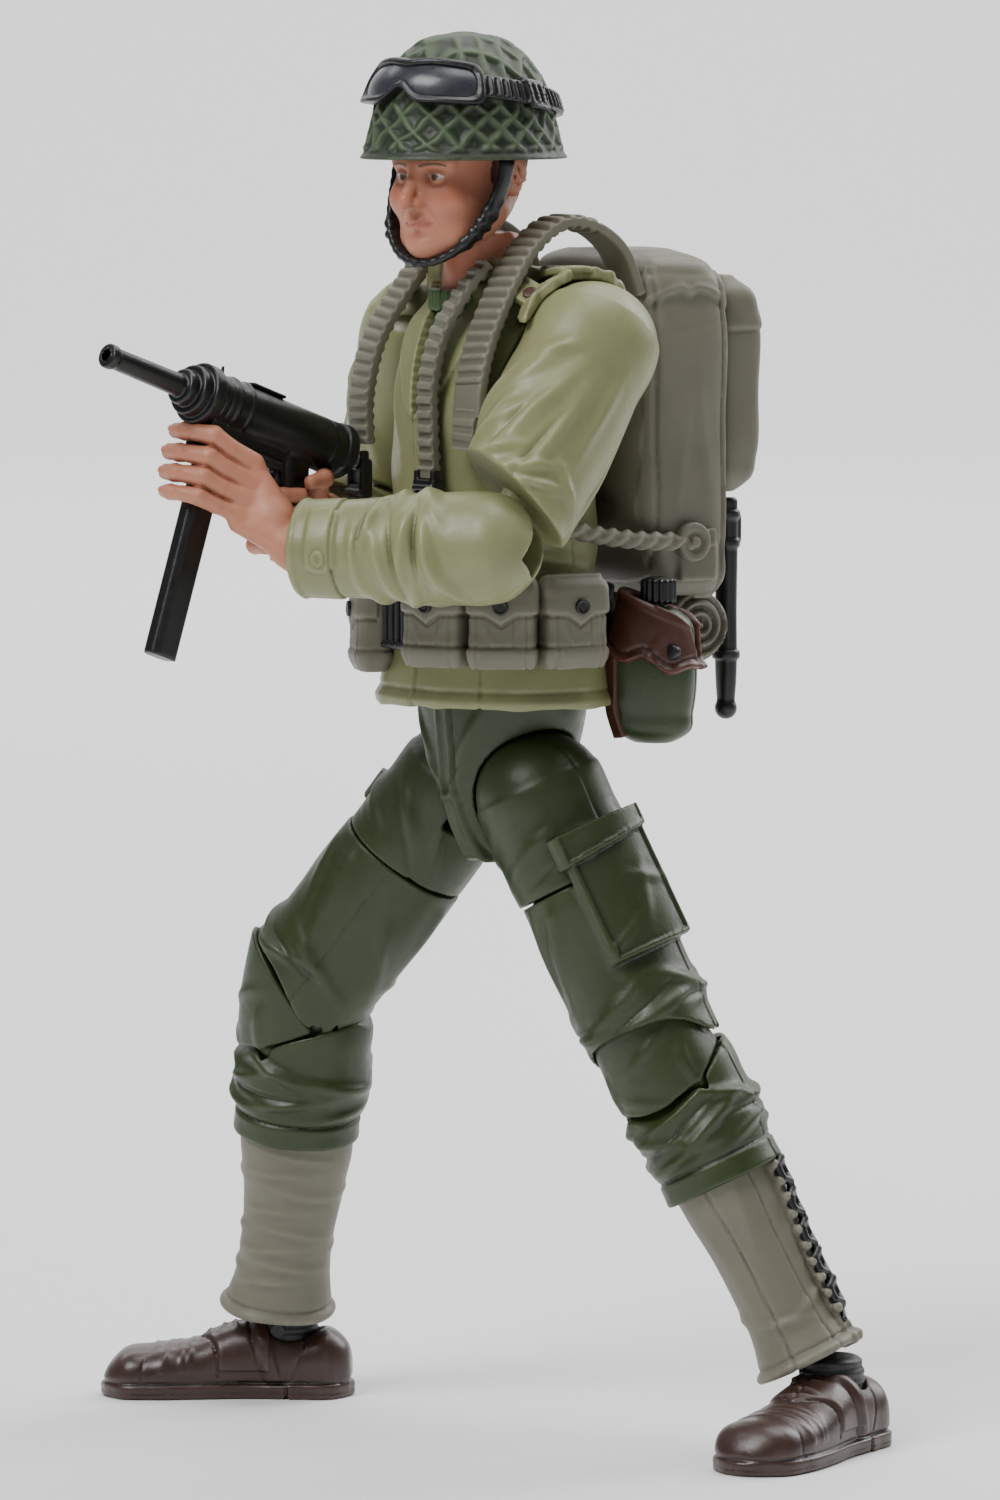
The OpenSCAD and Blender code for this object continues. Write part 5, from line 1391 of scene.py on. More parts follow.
def make_hand(side):
    left = side == "left"
    if left:
        b = Block((-3.2, -3.6, -9.4), (7.9, 7.2, 1.2), 0.09)
        p = b.p
        palm = chain(p, [(5.5, 4.15, -6.7), (4.3, 3.1, -5.3)], (1.35, 1.25), 0)
        for a, c, r, k in (((4.6, 3.3, -4.9), (3.1, 1.9, -2.4), 0.72, 0.7),
                           ((4.5, 3.2, -5.4), (2.9, 1.7, -3.7), 0.78, 0.5),
                           ((4.7, 3.2, -6.0), (2.8, 1.6, -5.0), 0.78, 0.5),
                           ((5.0, 3.4, -6.6), (2.8, 1.5, -6.0), 0.7, 0.5)):
            palm = join(palm, rod(p, a, c, 1.0, r), k)
        rows = ((-1.75, -0.75, 0.0, 0.66), (-3.0, -2.25, 0.1, 0.68), (-4.25, -3.7, -0.05, 0.66),
                (-5.45, -5.05, -0.45, 0.58))
        d = join(palm, union([fingers(p, [[
            (2.9, 1.5, a), (2.15, -0.2, (a + z_) / 2 - 0.05), (1.55, -1.45, z_), (0.5, -1.95, z_),
            (-0.7, -2.1, z_ + 0.03), (-1.75 - reach, -2.0, z_ + 0.08)]], r) for a, z_, reach,
                              r in rows], 0.1), 0.45)
        thumb = chain(p, [(4.2, 3.7, -4.3), (2.7, 3.1, -2.9), (1.2, 2.5, -2.1), (-0.4, 2.15, -1.9),
                          (-1.2, 2.05, -1.9)],
                      (0.8, 0.72, 0.66, 0.62, 0.5), 0.25)
        d = join(d, thumb, 0.4)
        wrist = np.array([5.67, 4.29, -6.81])
        toward = np.array([0.71, 0.53, -0.47])
        nails = [(-2.1 - r[2], -2.35, r[1] + 0.16) for r in rows]
        well = brick(p, (0, 0, -4), (0.8, 1.2, 12), 0.05)
        m, body, seed = MAGAZINE, "left_hand", 3
    else:
        b = Block((-4.6, -3.6, -8.6), (3.4, 7.8, 0.6), 0.1)
        p = b.p
        palm = join(chain(p, [(-2.2, 5.2, -4.4), (-2.1, 3.4, -4.2)], (1.35, 1.3), 0),
                    chain(p, [(-2.1, 3.3, -3.6), (-2.0, 0.2, -2.9)], (1.0, 0.72), 0), 0.6)
        for z_ in (-4.1, -5.3, -6.3):
            palm = join(palm, chain(p, [(-2.1, 3.4, -4.5), (-2.0, 0.2, z_)], (1.0, 0.74), 0), 0.5)
        f = fingers(p, [[(-2.0, 0.4, z_), (-1.95, -1.0, z_), (-1.35, -1.95, z_), (0, -2.2, z_),
                         (1.35, -1.85, z_),
                         (1.75, -0.6, z_)] for z_ in (-2.8, -4.0, -5.2, -6.3)], 0.6)
        d = join(palm, f, 0.4)
        d = join(d, chain(p, [(-1.7, 4.1, -3.4), (-0.4, 3.0, -2.2), (0.9, 2.35, -1.7),
                              (1.8, 1.4, -1.7), (1.95, 0.2, -1.9)],
                          (0.8, 0.7, 0.64, 0.6, 0.5), 0.25), 0.4)
        wrist = np.array([-2.21, 5.09, -4.41])
        toward = np.array([-0.44, 0.9, -0.03])
        nails = []
        well = brick(p, (0, 0, -4), (1.0, 1.4, 8), 0.3)
        m, body, seed = GRIP, "right_hand", 4
    d = join(d, rod(p, wrist, wrist + toward * 0.9, 1.5, 1.42), 0.5)
    d = cut(d, well, 0.05)
    d = b.full(d)

    def relief(x, y, z):
        r = 0.03 * ripple(x, y, z, 2.4, seed)
        for n in nails:
            q = np.sqrt(((x - n[0]) / 0.34) ** 2 + ((z - n[2]) / 0.26) ** 2)
            r = r + np.where(y < -2.0, 0.05 * (q < 0.9) + groove((q - 1) * 0.3, 0.07, 0.07), 0)
        for i in range(4) if left else ():
            z0 = (-1.75, -3.0, -4.25, -5.45)[i]
            r = r + 0.1 * np.exp(-((x - 3.0) ** 2 + (z - z0) ** 2 + (y - 0.9) ** 2) / 0.35)
            zf = (-1.25, -2.6, -4.0, -5.25)[i]
            for xk in (1.75, -0.1):
                r = r + groove(x - xk - 0.12, 0.07, 0.05) * (abs(z - zf) < 0.6) * (y < -0.8)
        return r

    d = b.raise_by(d, 0.4, relief)

    def paint(v):
        q = np.zeros(len(v))
        for n in nails:
            q = np.maximum(q, 0.35 * np.exp(-((v[:, 0] - n[0]) ** 2
                                              + (v[:, 2] - n[2]) ** 2) / 0.12) * (v[:, 1] < -1.9))
        return {"blush": q}

    skin(side + "_hand_sculpt", b, d, m, body, SKIN, [side + "_hand"], paint)


# ---- legs ----------------------------------------------------------------------------------------


def make_pelvis():
    b = Block((-7.2, -6.4, 39.0), (7.2, 6.6, 54.6), 0.15)
    p = b.p
    d = b.full(loft(p, [[54.2, 6.2, 5.2, 0, 0.2], [52.2, 6.5, 5.4, 0, 0.2],
                        [50.2, 6.2, 5.3, 0, 0.2], [46, 4.4, 4.9, 0, 0.2],
                        [42.6, 2.4, 4.2, 0, 0.2], [39.9, 1.3, 2.9, 0, 0.2]], 2.2, 0.5))

    def relief(x, y, z):
        front = y < 0
        r = ridge(x - 0.9, 0.22, 0.2) + groove(x - 1.2, 0.1, 0.14) + ridge(x + 0.3, 0.2, 0.14)
        r = (r + bump(x, z, 2.6, 48.5, 58, 2.4, 0.42, 0.3)
             + bump(x, z, -2.4, 48.5, -58, 2.4, 0.42, 0.3))
        r = (r + bump(x, z, 1.8, 46.2, 52, 2.0, 0.36, 0.26)
             + bump(x, z, -1.6, 46.4, -50, 2.0, 0.36, 0.26))
        r = r + bump(x, z, 0.2, 44.4, 8, 1.4, 0.34, 0.2)
        return np.where(front, r, groove(x, 0.1, 0.14)) + 0.04 * ripple(x, y, z, 1.2, 41)

    d = b.raise_by(d, 0.7, relief)
    for s in (-1, 1):
        d = cut(d, ball(p, (5.0 * s, 0, 44.6), 4.68), 0.1)
    d = join(d, drum(p, (0, 0, 44.6), 0, 1.65, 3.2), 0.1)
    skin("pelvis_sculpt", b, d, BODY, "pelvis", TROUSERS, ["pelvis"])


def make_thigh_top(side):
    s = SIDE[side]
    b = Block((-5.2, -5.5, -7.0), (5.2, 5.5, 5.0), 0.15)
    p = b.p
    d = b.full(join(ball(p, (0, 0, 0), 4.5),
                    loft(p, [[0.5, 4.3, 4.35], [-3.4, 4.4, 4.65], [-6.45, 4.35, 4.7]],
                                                 2.1, 0.12), 0.6))

    def relief(x, y, z):
        u = np.arctan2(x * s, -y) * 4.5
        r = bump(u, z, 1.5, -3.6, 24, 3.2, 0.5, 0.2) + bump(u, z, -2.6, -2.6, 40, 2.8, 0.5, 0.22)
        r = (r + bump(u, z, 6.5, -3.6, -12, 3.0, 0.5, 0.2)
             + bump(u, z, -5.6, -3.2, 64, 2.6, 0.5, 0.22))
        r = (r + bump(u, z, -3.9, -4.6, 46, 2.4, 0.22, -0.16)
             + bump(u, z, 3.0, -5.0, 14, 2.4, 0.22, -0.14))
        seam = seam_round(np.arctan2(x * s, -y), 1.75, 4.5)
        return r * np.clip((0.8 - z) / 2.5, 0, 1) + seam + 0.04 * ripple(x, y, z, 1.1, 51 + s)

    d = b.raise_by(d, 0.7, relief)
    d = cut(d, meet(brick(p, (-3 * s, 0, 0), (4.2, 1.9, 1.9), 0.1), s * p[0] - 2.0), 0.1)
    limb_skin(side, "thigh_top", "thigh_top", b, d, TROUSERS)


THIGH_LENGTH, KNEE_LINK = 18.6, 4.2
KNEE_CUP = (3.05, 3.48, 0.0)  # radius, half width and edge of the hollow for the knee
PLAY = 0.12


def knee_shield(p, grow=0.0):
    """The kneecap's plate in the knee's frame, with a tip on top and a point at each side."""
    x, y, z = p
    d = meet(egg(p, (0, 0.2, -1.6), (4.3, 4.8, 14.0)), abs(x) - 3.95, 0.5)
    d = meet(d, 0.78 * (y + 3.7) + 0.627 * (z - 3.6), 0.3)
    return meet(d, 0.44 * (y + 4.6) - 0.897 * (z + 4.5), 0.3) - grow


def make_thigh(side):
    s, left = SIDE[side], side == "left"
    b = Block((-6.9, -6.9, -20.9), (6.9, 6.9, -3.2), 0.15)
    p = b.p
    x, y, z = p
    d = b.full(loft(p, [[-6.62, 4.35, 4.75], [-10, 4.4, 4.8], [-14, 4.3, 4.75, 0, -0.1],
                        [-17, 4.35, 4.85, 0, -0.25],
                        [-20.4, 4.35, 4.9, 0, -0.3]], 2.1, 0.12))

    def folds(x, y, z):
        th = np.arctan2(x * s, -y)
        u = th * 4.4
        r = creases(u, z, (
                (-1.0, -9.0, 70, 3.6, 0.6, 0.26), (2.0, -11.5, 98, 3.8, 0.6, 0.24),
                           (-3.6, -11.0, 78, 4.2, 0.6, 0.26),
                (0.6, -15.6, 25, 2.8, 0.5, 0.32), (-2.6, -16.6, -16, 2.8, 0.46, 0.32),
                           (3.8, -16.8, 12, 2.8, 0.46, 0.32),
                (6.4, -15.4, -22, 2.8, 0.5, 0.3), (-6.2, -15.8, 24, 3.0, 0.5, 0.32),
                           (9.4, -16.4, 14, 3.0, 0.5, 0.34),
                (-9.0, -12.4, 60, 3.4, 0.6, 0.3), (12.2, -15.0, 8, 3.0, 0.5, 0.34),
                           (12.4, -17.2, -8, 3.0, 0.45, 0.34),
                (-11.6, -9.0, 85, 3.8, 0.6, 0.24), (9.0, -9.0, 80, 3.6, 0.6, 0.2),
                (1.8, -16.4, 20, 2.6, 0.22, -0.2), (-4.2, -16.2, 8, 2.6, 0.22, -0.2),
                           (7.8, -16.8, 0, 2.6, 0.22, -0.2)), 4.4)
        r = r + seam_round(th, 1.75, 4.4) + seam_round(th, -1.3, 4.4, deep=0.1)
        return r * np.clip((-6.9 - z) / 1.0, 0, 1) + 0.04 * ripple(x, y, z, 1.0, 61 + s)

    d = b.raise_by(d, 0.9, folds)
    # The cargo pocket: a bellows body, a flap and piping along the edges
    at = 62 if left else 78
    c = local(p, turn("z", s * (at - 90)))
    q = (c[0] * s, c[1], c[2])
    surface = 4.45 - 0.085 * q[1] ** 2
    off = q[0] - surface
    inside = np.where(q[2] > -6.75, 4.97 - np.hypot(q[0], q[1]), -off - 1.5)
    box = np.maximum(abs(q[1] - 0.2) - 3.5, abs(q[2] + 8.4) - 4.4)
    body_ = meet(meet(box, off - 0.84, 0.3), inside, 0.1)
    piping = meet(meet(abs(box + 0.25) - 0.14, abs(off - 0.84) - 0.2, 0.1), inside)
    lid = np.maximum(abs(q[1] - 0.2) - 3.85, abs(q[2] + 3.3 - 0.1 * q[1]) - 1.85)
    flap = meet(meet(lid, off - 1.18, 0.22), inside, 0.1)
    fpipe = meet(meet(abs(lid + 0.25) - 0.13, abs(off - 1.14) - 0.2, 0.1), inside)
    pocket = b.full(join(join(body_, piping, 0.08), join(flap, fpipe, 0.08), 0.05))

    def slack(x, y, z):
        a = np.arctan2(x * s, -y) * 4.8 - math.radians(at) * 4.8
        return (bump(a, z, 0.6, -9.5, 70, 2.6, 0.5, 0.18)
                + bump(a, z, -1.6, -11.3, 30, 2.0, 0.4, 0.18)
                + bump(a, z, 1.4, -8.0, -20, 1.8, 0.4, 0.16)
                + bump(a, z, -0.4, -3.3, 12, 2.0, 0.4, 0.1))

    pocket = b.raise_by(pocket, 0.5, slack)
    d = join(d, meet(pocket, -(q[0] - 2.5)), 0.12)
    k = local(p, shift(0, 0, -THIGH_LENGTH))
    hem = curve(k[1], [-4.9, -3.4, -1.5, 0.2, 2.5, 3.9, 4.9], [1.3, 1.0, 0.0, -0.9, -0.8, 0.3, 1.6])
    d = meet(d, hem - k[2], 0.15)
    d = join(d, drum(p, (0, 0, -6.8), 2, 3.7, 0.38, 0.1), 0)
    for a in (0, 30):
        d = cut(d, drum(local(k, turn("x", a)), (0, -0.6, -KNEE_LINK / 2), 0, *KNEE_CUP), 0.06)
    for a in (0, 30, 40, 50):
        d = cut(d, knee_shield(local(k, turn("x", a)), PLAY), 0.06)
    d = join(d, drum(k, (0, 0, 0), 0, 1.5, 1.2), 0)
    d = join(d, brick(k, (0, 0, 2.2), (1.2, 1.3, 2.6)), 0)
    limb_skin(side, "thigh", "thigh", b, d, TROUSERS)


def make_knee(side):
    s = SIDE[side]
    b = Block((-4.4, -5.2, -8.0), (4.4, 4.3, 4.8), 0.12)
    p = b.p
    x, y, z = p
    core = drum(p, (0, -0.6, -KNEE_LINK / 2), 0, 2.9, 3.3, 0.5)
    for k in (0, -KNEE_LINK):
        core = cut(core, meet(abs(x) - 1.5, np.sqrt(y * y + (z - k) ** 2) - 2.0), 0.05)
        core = cut(core, meet(abs(x) - 1.5, np.maximum(-y - 0.9, abs(z - k) - 3.2)), 0.05)
    d = b.full(join(core, knee_shield(p), 0.35))

    def relief(x, y, z):
        front = y < -1.5
        r = bump(x, z, 0.8, -0.6, 30, 2.0, 0.4, 0.16) + bump(x, z, -1.0, -3.4, -24, 2.0, 0.4, 0.16)
        return np.where(front, r, 0) + 0.03 * ripple(x, y, z, 1.3, 71 + s)

    d = b.raise_by(d, 0.5, relief)
    limb_skin(side, "knee", "knee", b, d, TROUSERS)


def make_shin(side):
    s = SIDE[side]
    b = Block((-5.3, -5.4, -7.2), (5.3, 5.6, 4.4), 0.14)
    p = b.p
    x, y, z = p
    d = b.full(loft(p, [[3.2, 3.9, 4.0, 0, 0.6], [1.6, 4.2, 4.4, 0, 0.6],
                        [-0.2, 4.25, 4.55, 0, 0.4], [-2.0, 4.35, 4.8, 0, 0.35],
                        [-4.2, 4.1, 4.5, 0, 0.2],
                        [-5.4, 4.0, 4.25, 0, 0.1], [-6.4, 4.05, 4.3, 0, 0.1]], 2.1, 0.25))

    def folds(x, y, z):
        th = np.arctan2(x * s, -y)
        u = th * 4.3
        r = creases(u, z, (
                (0.6, -0.8, 20, 3.0, 0.45, 0.42), (2.6, -2.6, 24, 3.2, 0.42, 0.42),
                           (-1.8, -2.0, -18, 3.0, 0.42, 0.4),
                (-0.4, -3.9, 6, 3.4, 0.38, 0.36), (5.4, -1.0, -20, 3.0, 0.45, 0.4),
                           (6.6, -3.4, 16, 3.0, 0.42, 0.38),
                (-5.0, -0.9, 22, 3.0, 0.45, 0.42), (-6.4, -3.2, -12, 3.0, 0.42, 0.4),
                           (9.6, -1.6, 14, 3.2, 0.45, 0.42),
                (10.6, -3.8, -10, 3.0, 0.4, 0.38), (-9.6, -1.8, 12, 3.2, 0.45, 0.42),
                           (-10.4, -4.0, -8, 3.0, 0.4, 0.36),
                (1.4, -1.7, 22, 2.6, 0.22, -0.26), (-3.4, -2.8, 0, 2.8, 0.22, -0.24),
                           (7.6, -2.4, 0, 2.8, 0.22, -0.24),
                (3.4, 0.9, 30, 2.0, 0.4, 0.3), (-3.0, 1.0, -30, 2.0, 0.4, 0.3)), 4.3)
        cuff = 0.16 * ramp(-(z + 4.95), 0.06) + groove(z + 4.85, 0.1, 0.16)
        seam = seam_round(th, 1.75, 4.3)
        return (r * np.clip((z + 5.2) / 0.7, 0, 1) + cuff + seam
                + 0.04 * ripple(x, y, z, 1.2, 81 + s))

    d = b.raise_by(d, 0.9, folds)
    rim = curve(y, [-4.6, -3.0, 0.0, 1.5, 2.5, 4.0, 5.0], [-0.9, 0.2, 1.9, 2.35, 2.6, 2.8, 1.9])
    d = meet(d, z - rim, 0.25)
    d = cut(d, drum(p, (0, -0.6, KNEE_LINK / 2), 0, *KNEE_CUP), 0.06)
    for a in (0, 8):
        d = cut(d, knee_shield(local(p, turn("x", -a) @ shift(0, 0, KNEE_LINK)), PLAY), 0.06)
    d = join(d, drum(p, (0, 0, 0), 0, 1.5, 1.2), 0)
    d = join(d, brick(p, (0, 0, -2.2), (1.2, 1.3, 2.6)), 0)
    limb_skin(side, "shin", "shin", b, d, TROUSERS)


def make_gaiter(side):
    s, left = SIDE[side], side == "left"
    b = Block((-4.9, -5.1, -20.9), (4.9, 5.2, -5.0), 0.13)
    p = b.p
    x, y, z = p
    d = b.full(loft(p, [[-5.4, 3.5, 3.95, 0, 0.1], [-8, 3.35, 3.95, 0, 0.25],
                        [-11, 3.05, 3.5, 0, 0.25], [-14.5, 2.95, 3.25, 0, 0.1],
                        [-17.2, 3.0, 3.3], [-18.9, 3.3, 3.65, 0, -0.1],
                        [-20.1, 3.65, 4.0, 0, -0.2]], 2.1, 0.2))
    lace_at = 106

    def relief(x, y, z):
        th = np.arctan2(x * s, -y)
        u = th * 3.6
        r = ridge(z + 19.75, 0.3, 0.24) + groove(z + 19.25, 0.12, 0.14)
        if left:
            for a0, wdt in ((8, 0.1), (62, 0.1), (-60, 0.1)):
                r = r + groove(wrap(th - math.radians(a0)) * 3.6 + 0.03 * (z + 12), wdt, 0.16)
            plain = ((2.0, -9.0, 84, 3.0, 0.5, 0.16), (-1.0, -13.0, 95, 3.6, 0.5, 0.16),
                     (4.2, -16.2, 20, 1.8, 0.4, 0.2),
                     (1.0, -16.9, -10, 2.0, 0.35, 0.2), (5.5, -11.0, 80, 3.6, 0.5, 0.14),
                     (-4.4, -15.8, 12, 2.2, 0.4, 0.2))
        else:
            plain = tuple((u0, z0, a, 3.0, 0.34, h) for u0, z0, a, h in (
                (-5.6, -7.4, 6, 0.16), (-4.4, -9.0, -5, 0.18), (-6.6, -10.4, 5, 0.16),
                    (-4.8, -11.8, -4, 0.18),
                (-6.2, -13.4, 6, 0.18), (-4.6, -14.8, -7, 0.2), (-6.0, -16.0, 4, 0.22),
                    (-4.4, -17.2, -6, 0.22),
                (0.5, -9.6, 5, 0.16), (0.2, -13.8, -6, 0.18), (1.2, -16.6, 5, 0.22),
                    (4.8, -8.6, -6, 0.16),
                (5.2, -12.2, 6, 0.18), (4.6, -15.6, -5, 0.2), (9.8, -10.6, 5, 0.16),
                    (9.4, -14.6, -6, 0.2)))
        r = r + creases(u, z, plain, 3.6)
        seam = wrap(th - math.radians(lace_at)) * 3.6
        r = r + ridge(seam + 0.75, 0.22, 0.26) + ridge(seam - 0.75, 0.22, 0.22)
        r = r + groove(seam, 0.3, 0.18)
        return r + 0.04 * ripple(x, y, z, 1.3, 91 + s)

    d = b.raise_by(d, 0.8, relief)
    th0 = math.radians(lace_at)
    tangent = np.array([math.cos(th0) * s, math.sin(th0), 0])
    n = np.array([math.sin(th0) * s, -math.cos(th0), 0])

    def lace_line(z_, off):
        """A point of the lacing's middle line, off the surface by off."""
        r = np.interp(z_, (-20.1, -17.2, -14.5, -11, -8, -5.4), (3.65, 3.02, 2.98, 3.1, 3.42, 3.55))
        return n * (r + off) + (0, 0.15, z_)

    hooks = []
    for z_ in np.linspace(-6.9, -17.6, 10):
        c = lace_line(z_, 0.25)
        hooks += [egg(p, c - tangent * 0.75, (0.42, 0.42, 0.4)),
                  egg(p, c + tangent * 0.75, (0.4, 0.4, 0.36))]
    d = join(d, union(hooks, 0.05), 0.15)
    d = cut(d, drum(p, (0, 0, -20.9), 2, 2.6, 2.2), 0.2)
    limb_skin(side, "gaiter", "shin", b, d, WEBBING)
    bl = Block((-5.4, -5.4, -18.8), (5.4, 5.6, -5.6), 0.12)
    p = bl.p
    laces = []
    for i in range(5):
        c = lace_line(-7.6 - 2.25 * i, 0.46)
        pts = [c + tangent * a * 0.8 + (0, 0, h) + n * o for a, h, o in
               ((-0.9, 0.5, 0), (0, 0.95, 0.35), (0.9, 0.5, 0), (0.9, -0.4, 0), (0, -0.85, 0.2),
                (-0.9, -0.4, 0), (-0.9, 0.5, 0))]
        e = chain(p, pts, [0.29] * 7, 0.05)
        e = join(e, rod(p, c + tangent * 0.7 + (0, 0, -0.4), c - tangent * 0.7 + (0, 0, -1.9),
                        0.22), 0.08)
        laces.append(e)
    skin(side + "_gaiter_lace", bl, union(laces, 0.05), LIMB[side]["shin"], side + "_shin", BLACK)


def make_shoe(side):
    s = SIDE[side]
    b = Block((-3.8, -13.2, -3.4), (3.8, 5.9, 3.0), 0.11)
    p = b.p
    x, y, z = p
    half = curve(y, [-12.4, -11.4, -9.0, -6.0, -2.0, 1.5, 4.0, 5.2],
                 [1.5, 2.55, 3.15, 3.05, 2.65, 2.75, 2.5, 1.4])
    top = curve(y, [-12.4, -11.4, -9.0, -6.0, -3.0, -1.0, 1.5, 4.0, 5.2],
                [-1.3, -0.2, 0.35, 0.8, 1.85, 2.1, 1.6, 1.4, 0.3])
    mid = curve(y, [-12.4, -6, 5.2], [-0.35 * s, 0.1 * s, 0])
    low = -3.9
    hz = (top - low) / 2
    upper = (abs((x - mid) / half) ** 2.5 + abs((z - (top + low) / 2) / hz) ** 2.5) ** (1 / 2.5)
    upper = (upper - 1) * np.minimum(half, hz)
    upper = meet(meet(upper, np.maximum(y - 5.15, -12.5 - y), 0.6), -3.1 - z)
    outline = meet(abs(x - mid) - half - 0.14, np.maximum(y - 5.35, -12.75 - y), 1.8)
    sole = meet(outline, np.maximum(z + 2.1, -3.2 - z), 0.35)
    heelblock = meet(meet(outline - 0.06, 0.6 - y, 0.2), np.maximum(z + 2.0, -3.2 - z), 0.25)
    d = b.full(join(join(upper, sole, 0.12), heelblock, 0.05))

    def relief(x, y, z):
        above = np.clip((z + 2.0) / 0.2, 0, 1)
        arc = np.sqrt(0.9 * x ** 2)
        # Facing: the lace flaps over the instep
        facing = np.where((y > -5.6 + 0.55 * arc) & (y < -0.6), 0.16, 0) * (z > -1.2)
        edge = groove(y + 5.6 - 0.55 * arc, 0.1, 0.12) * (z > -1.6)
        vamp = groove(y + 8.9 + 0.0875 * arc ** 2, 0.12, 0.06)
        strap_ = (0.26 * np.exp(-((y + 1.0 + 0.25 * (z - 1)) / 0.55) ** 4)
                  + groove(y + 1.85 + 0.25 * (z - 1), 0.1, 0.12))
        counter = groove(y - 1.6 - 0.35 * z, 0.1, 0.1)
        wrinkle = 0
        for y0, a, h in ((-7.0, 4, 0.12), (-7.8, -6, 0.12), (-8.6, 5, 0.1), (-6.2, -3, 0.12)):
            wrinkle = wrinkle + bump(x, y, 0.4, y0, a, 2.6, 0.22, h) * (z > -1.4)
        laces = 0
        for y0 in (-4.9, -4.0, -3.1, -2.3):
            laces = (laces + bump(x, y, 0, y0, 8 * (1 if int(y0 * 10) % 2 else -1), 0.95, 0.17,
                                  0.2) * (z > 0.2))
        slit = groove(x, 0.12, 0.12) * (y > -5.2) * (y < -1.2) * (z > 0)
        welt = groove(z + 2.05, 0.12, 0.1) + groove(z + 2.75, 0.06, 0.05)
        heel_line = np.where(z < -2.3, groove(y - 0.6, 0.1, 0.18), 0)
        return (facing + edge + vamp + strap_ + counter + wrinkle + laces
                + slit) * above + welt + heel_line \
            + 0.05 * ripple(x, y, z, 1.2, 101 + s) * above

    d = b.raise_by(d, 0.6, relief)
    d = cut(d, meet(loft(p, [[-0.4, 1.9, 2.0, 0, 0.4], [1.0, 2.1, 2.5, 0, 0.6],
                             [3.4, 2.4, 3.0, 0, 0.8]], 2.1, 0.1), -z - 0.3), 0.12)
    d = cut(d, drum(p, (0, -5.6, -3.2), 2, 1.5, 1.6, 0.0), 0.0)
    limb_skin(side, "shoe", "foot", b, d, SHOES)
    bs = Block((-2.8, -2.8, -1.0), (2.8, 3.4, 4.0), 0.13)
    q = bs.p
    sock = bs.full(loft(q, [[-0.9, 1.5, 1.7, 0, 0.4], [0.6, 1.8, 2.1, 0, 0.5],
                            [1.8, 2.1, 2.35, 0, 0.4], [3.4, 1.95, 2.15, 0, 0.2]], 2.1, 0.5))
    sock = bs.raise_by(sock, 0.4, lambda x, y,
                       z: 0.06 * np.sin(z * 9) + 0.05 * ripple(x, y, z, 2, 7))
    skin(side + "_sock", bs, sock, LIMB[side]["foot"], side + "_foot", JOINT_BLACK)


# ---- gun -----------------------------------------------------------------------------------------


def make_gun():
    b = Block((-2.9, -8.9, -8.9), (2.9, 6.2, 2.9), 0.1)
    p = b.p
    x, y, z = p
    d = drum(p, (0, -1.85, 0), 1, 1.85, 6.2, 0.18)
    d = join(d, drum(p, (0, 4.45, 0), 1, 1.95, 0.45, 0.15), 0.05)
    d = join(d, ball(p, (0, 4.4, 0), 1.35), 0.1)
    for yy in (-6.6, -5.4):
        d = join(d, drum(p, (0, yy, 0), 1, 1.98, 0.12, 0.05), 0.04)
    d = join(d, brick(p, (0, -3.9, -1.75), (0.98, 3.3, 1.35), 0.2), 0.15)
    d = join(d, brick(p, (0, -6.6, -2.5), (1.15, 1.55, 1.3), 0.2), 0.12)
    d = join(d, rod(p, (1.02, -7.6, -1.0), (1.02, -0.6, -1.0), 0.16), 0.05)
    d = join(d, rod(p, (1.0, -4.8, -2.5), (1.0, -1.0, -2.5), 0.13), 0.05)
    d = cut(d, brick(p, (-1.3, -3.4, 0.9), (0.9, 1.5, 0.55), 0.15), 0.08)
    d = join(d, brick(p, (0.3, -3.4, 1.95), (0.5, 1.6, 0.12), 0.08), 0.08)
    d = join(d, rod(p, (0, -7.4, 2.0), (0, -7.4, 2.5), 0.2, 0.13), 0.1)
    guard = meet(abs(np.sqrt((y - HEAD_Y) ** 2 + (z + 3.1) ** 2) - 1.15) - 0.16, abs(x) - 0.35, 0.1)
    d = join(d, guard, 0.05)
    g = local(p, shift(0, 0.4, -1.4) @ turn("x", 18))
    grip = loft(g, [[0.8, 0.95, 1.35], [-3, 0.92, 1.3], [-7.4, 0.95, 1.4]], 3, 0.2)
    d = join(d, grip, 0.15)
    d = b.full(d)

    def relief(x, y, z):
        r = np.sqrt(x * x + z * z)
        tube_ = (r > 1.5) & (y > -8.2)
        line = (groove(y + 7.4, 0.08, 0.12) + groove(y - 3.9, 0.08, 0.14)
                + groove(y - 2.7, 0.07, 0.08))
        return np.where(tube_ & (z > -1.2), line, 0) + 0.02 * ripple(x, y, z, 2, 12)

    d = b.raise_by(d, 0.4, relief)
    skin("gun_receiver_sculpt", b, d, GUN, "gun", GUN_BLACK, ["gun_receiver"])


def make_gun_barrel():
    b = Block((-2.6, -18.4, -2.6), (2.6, -7.9, 2.6), 0.09)
    p = b.p
    d = drum(p, (0, -8.7, 0), 1, 2.15, 0.5, 0.15)
    for at, r, edge, k in ((-9.5, 1.75, 0.15, 0.05), (-10.3, 1.25, 0.2, 0.1)):
        d = join(d, drum(p, (0, at, 0), 1, r, 0.5, edge), k)
    d = join(d, rod(p, (0, -9, 0), (0, -17.2, 0), 0.82, 0.74), 0.15)
    d = join(d, drum(p, (0, -17.35, 0), 1, 0.86, 0.35, 0.15), 0.1)
    d = cut(d, drum(p, (0, -18.0, 0), 1, 0.42, 0.9, 0.02), 0.05)
    d = b.full(d)
    skin("gun_barrel_sculpt", b, d, GUN, "gun", GUN_BLACK, ["gun_barrel"])


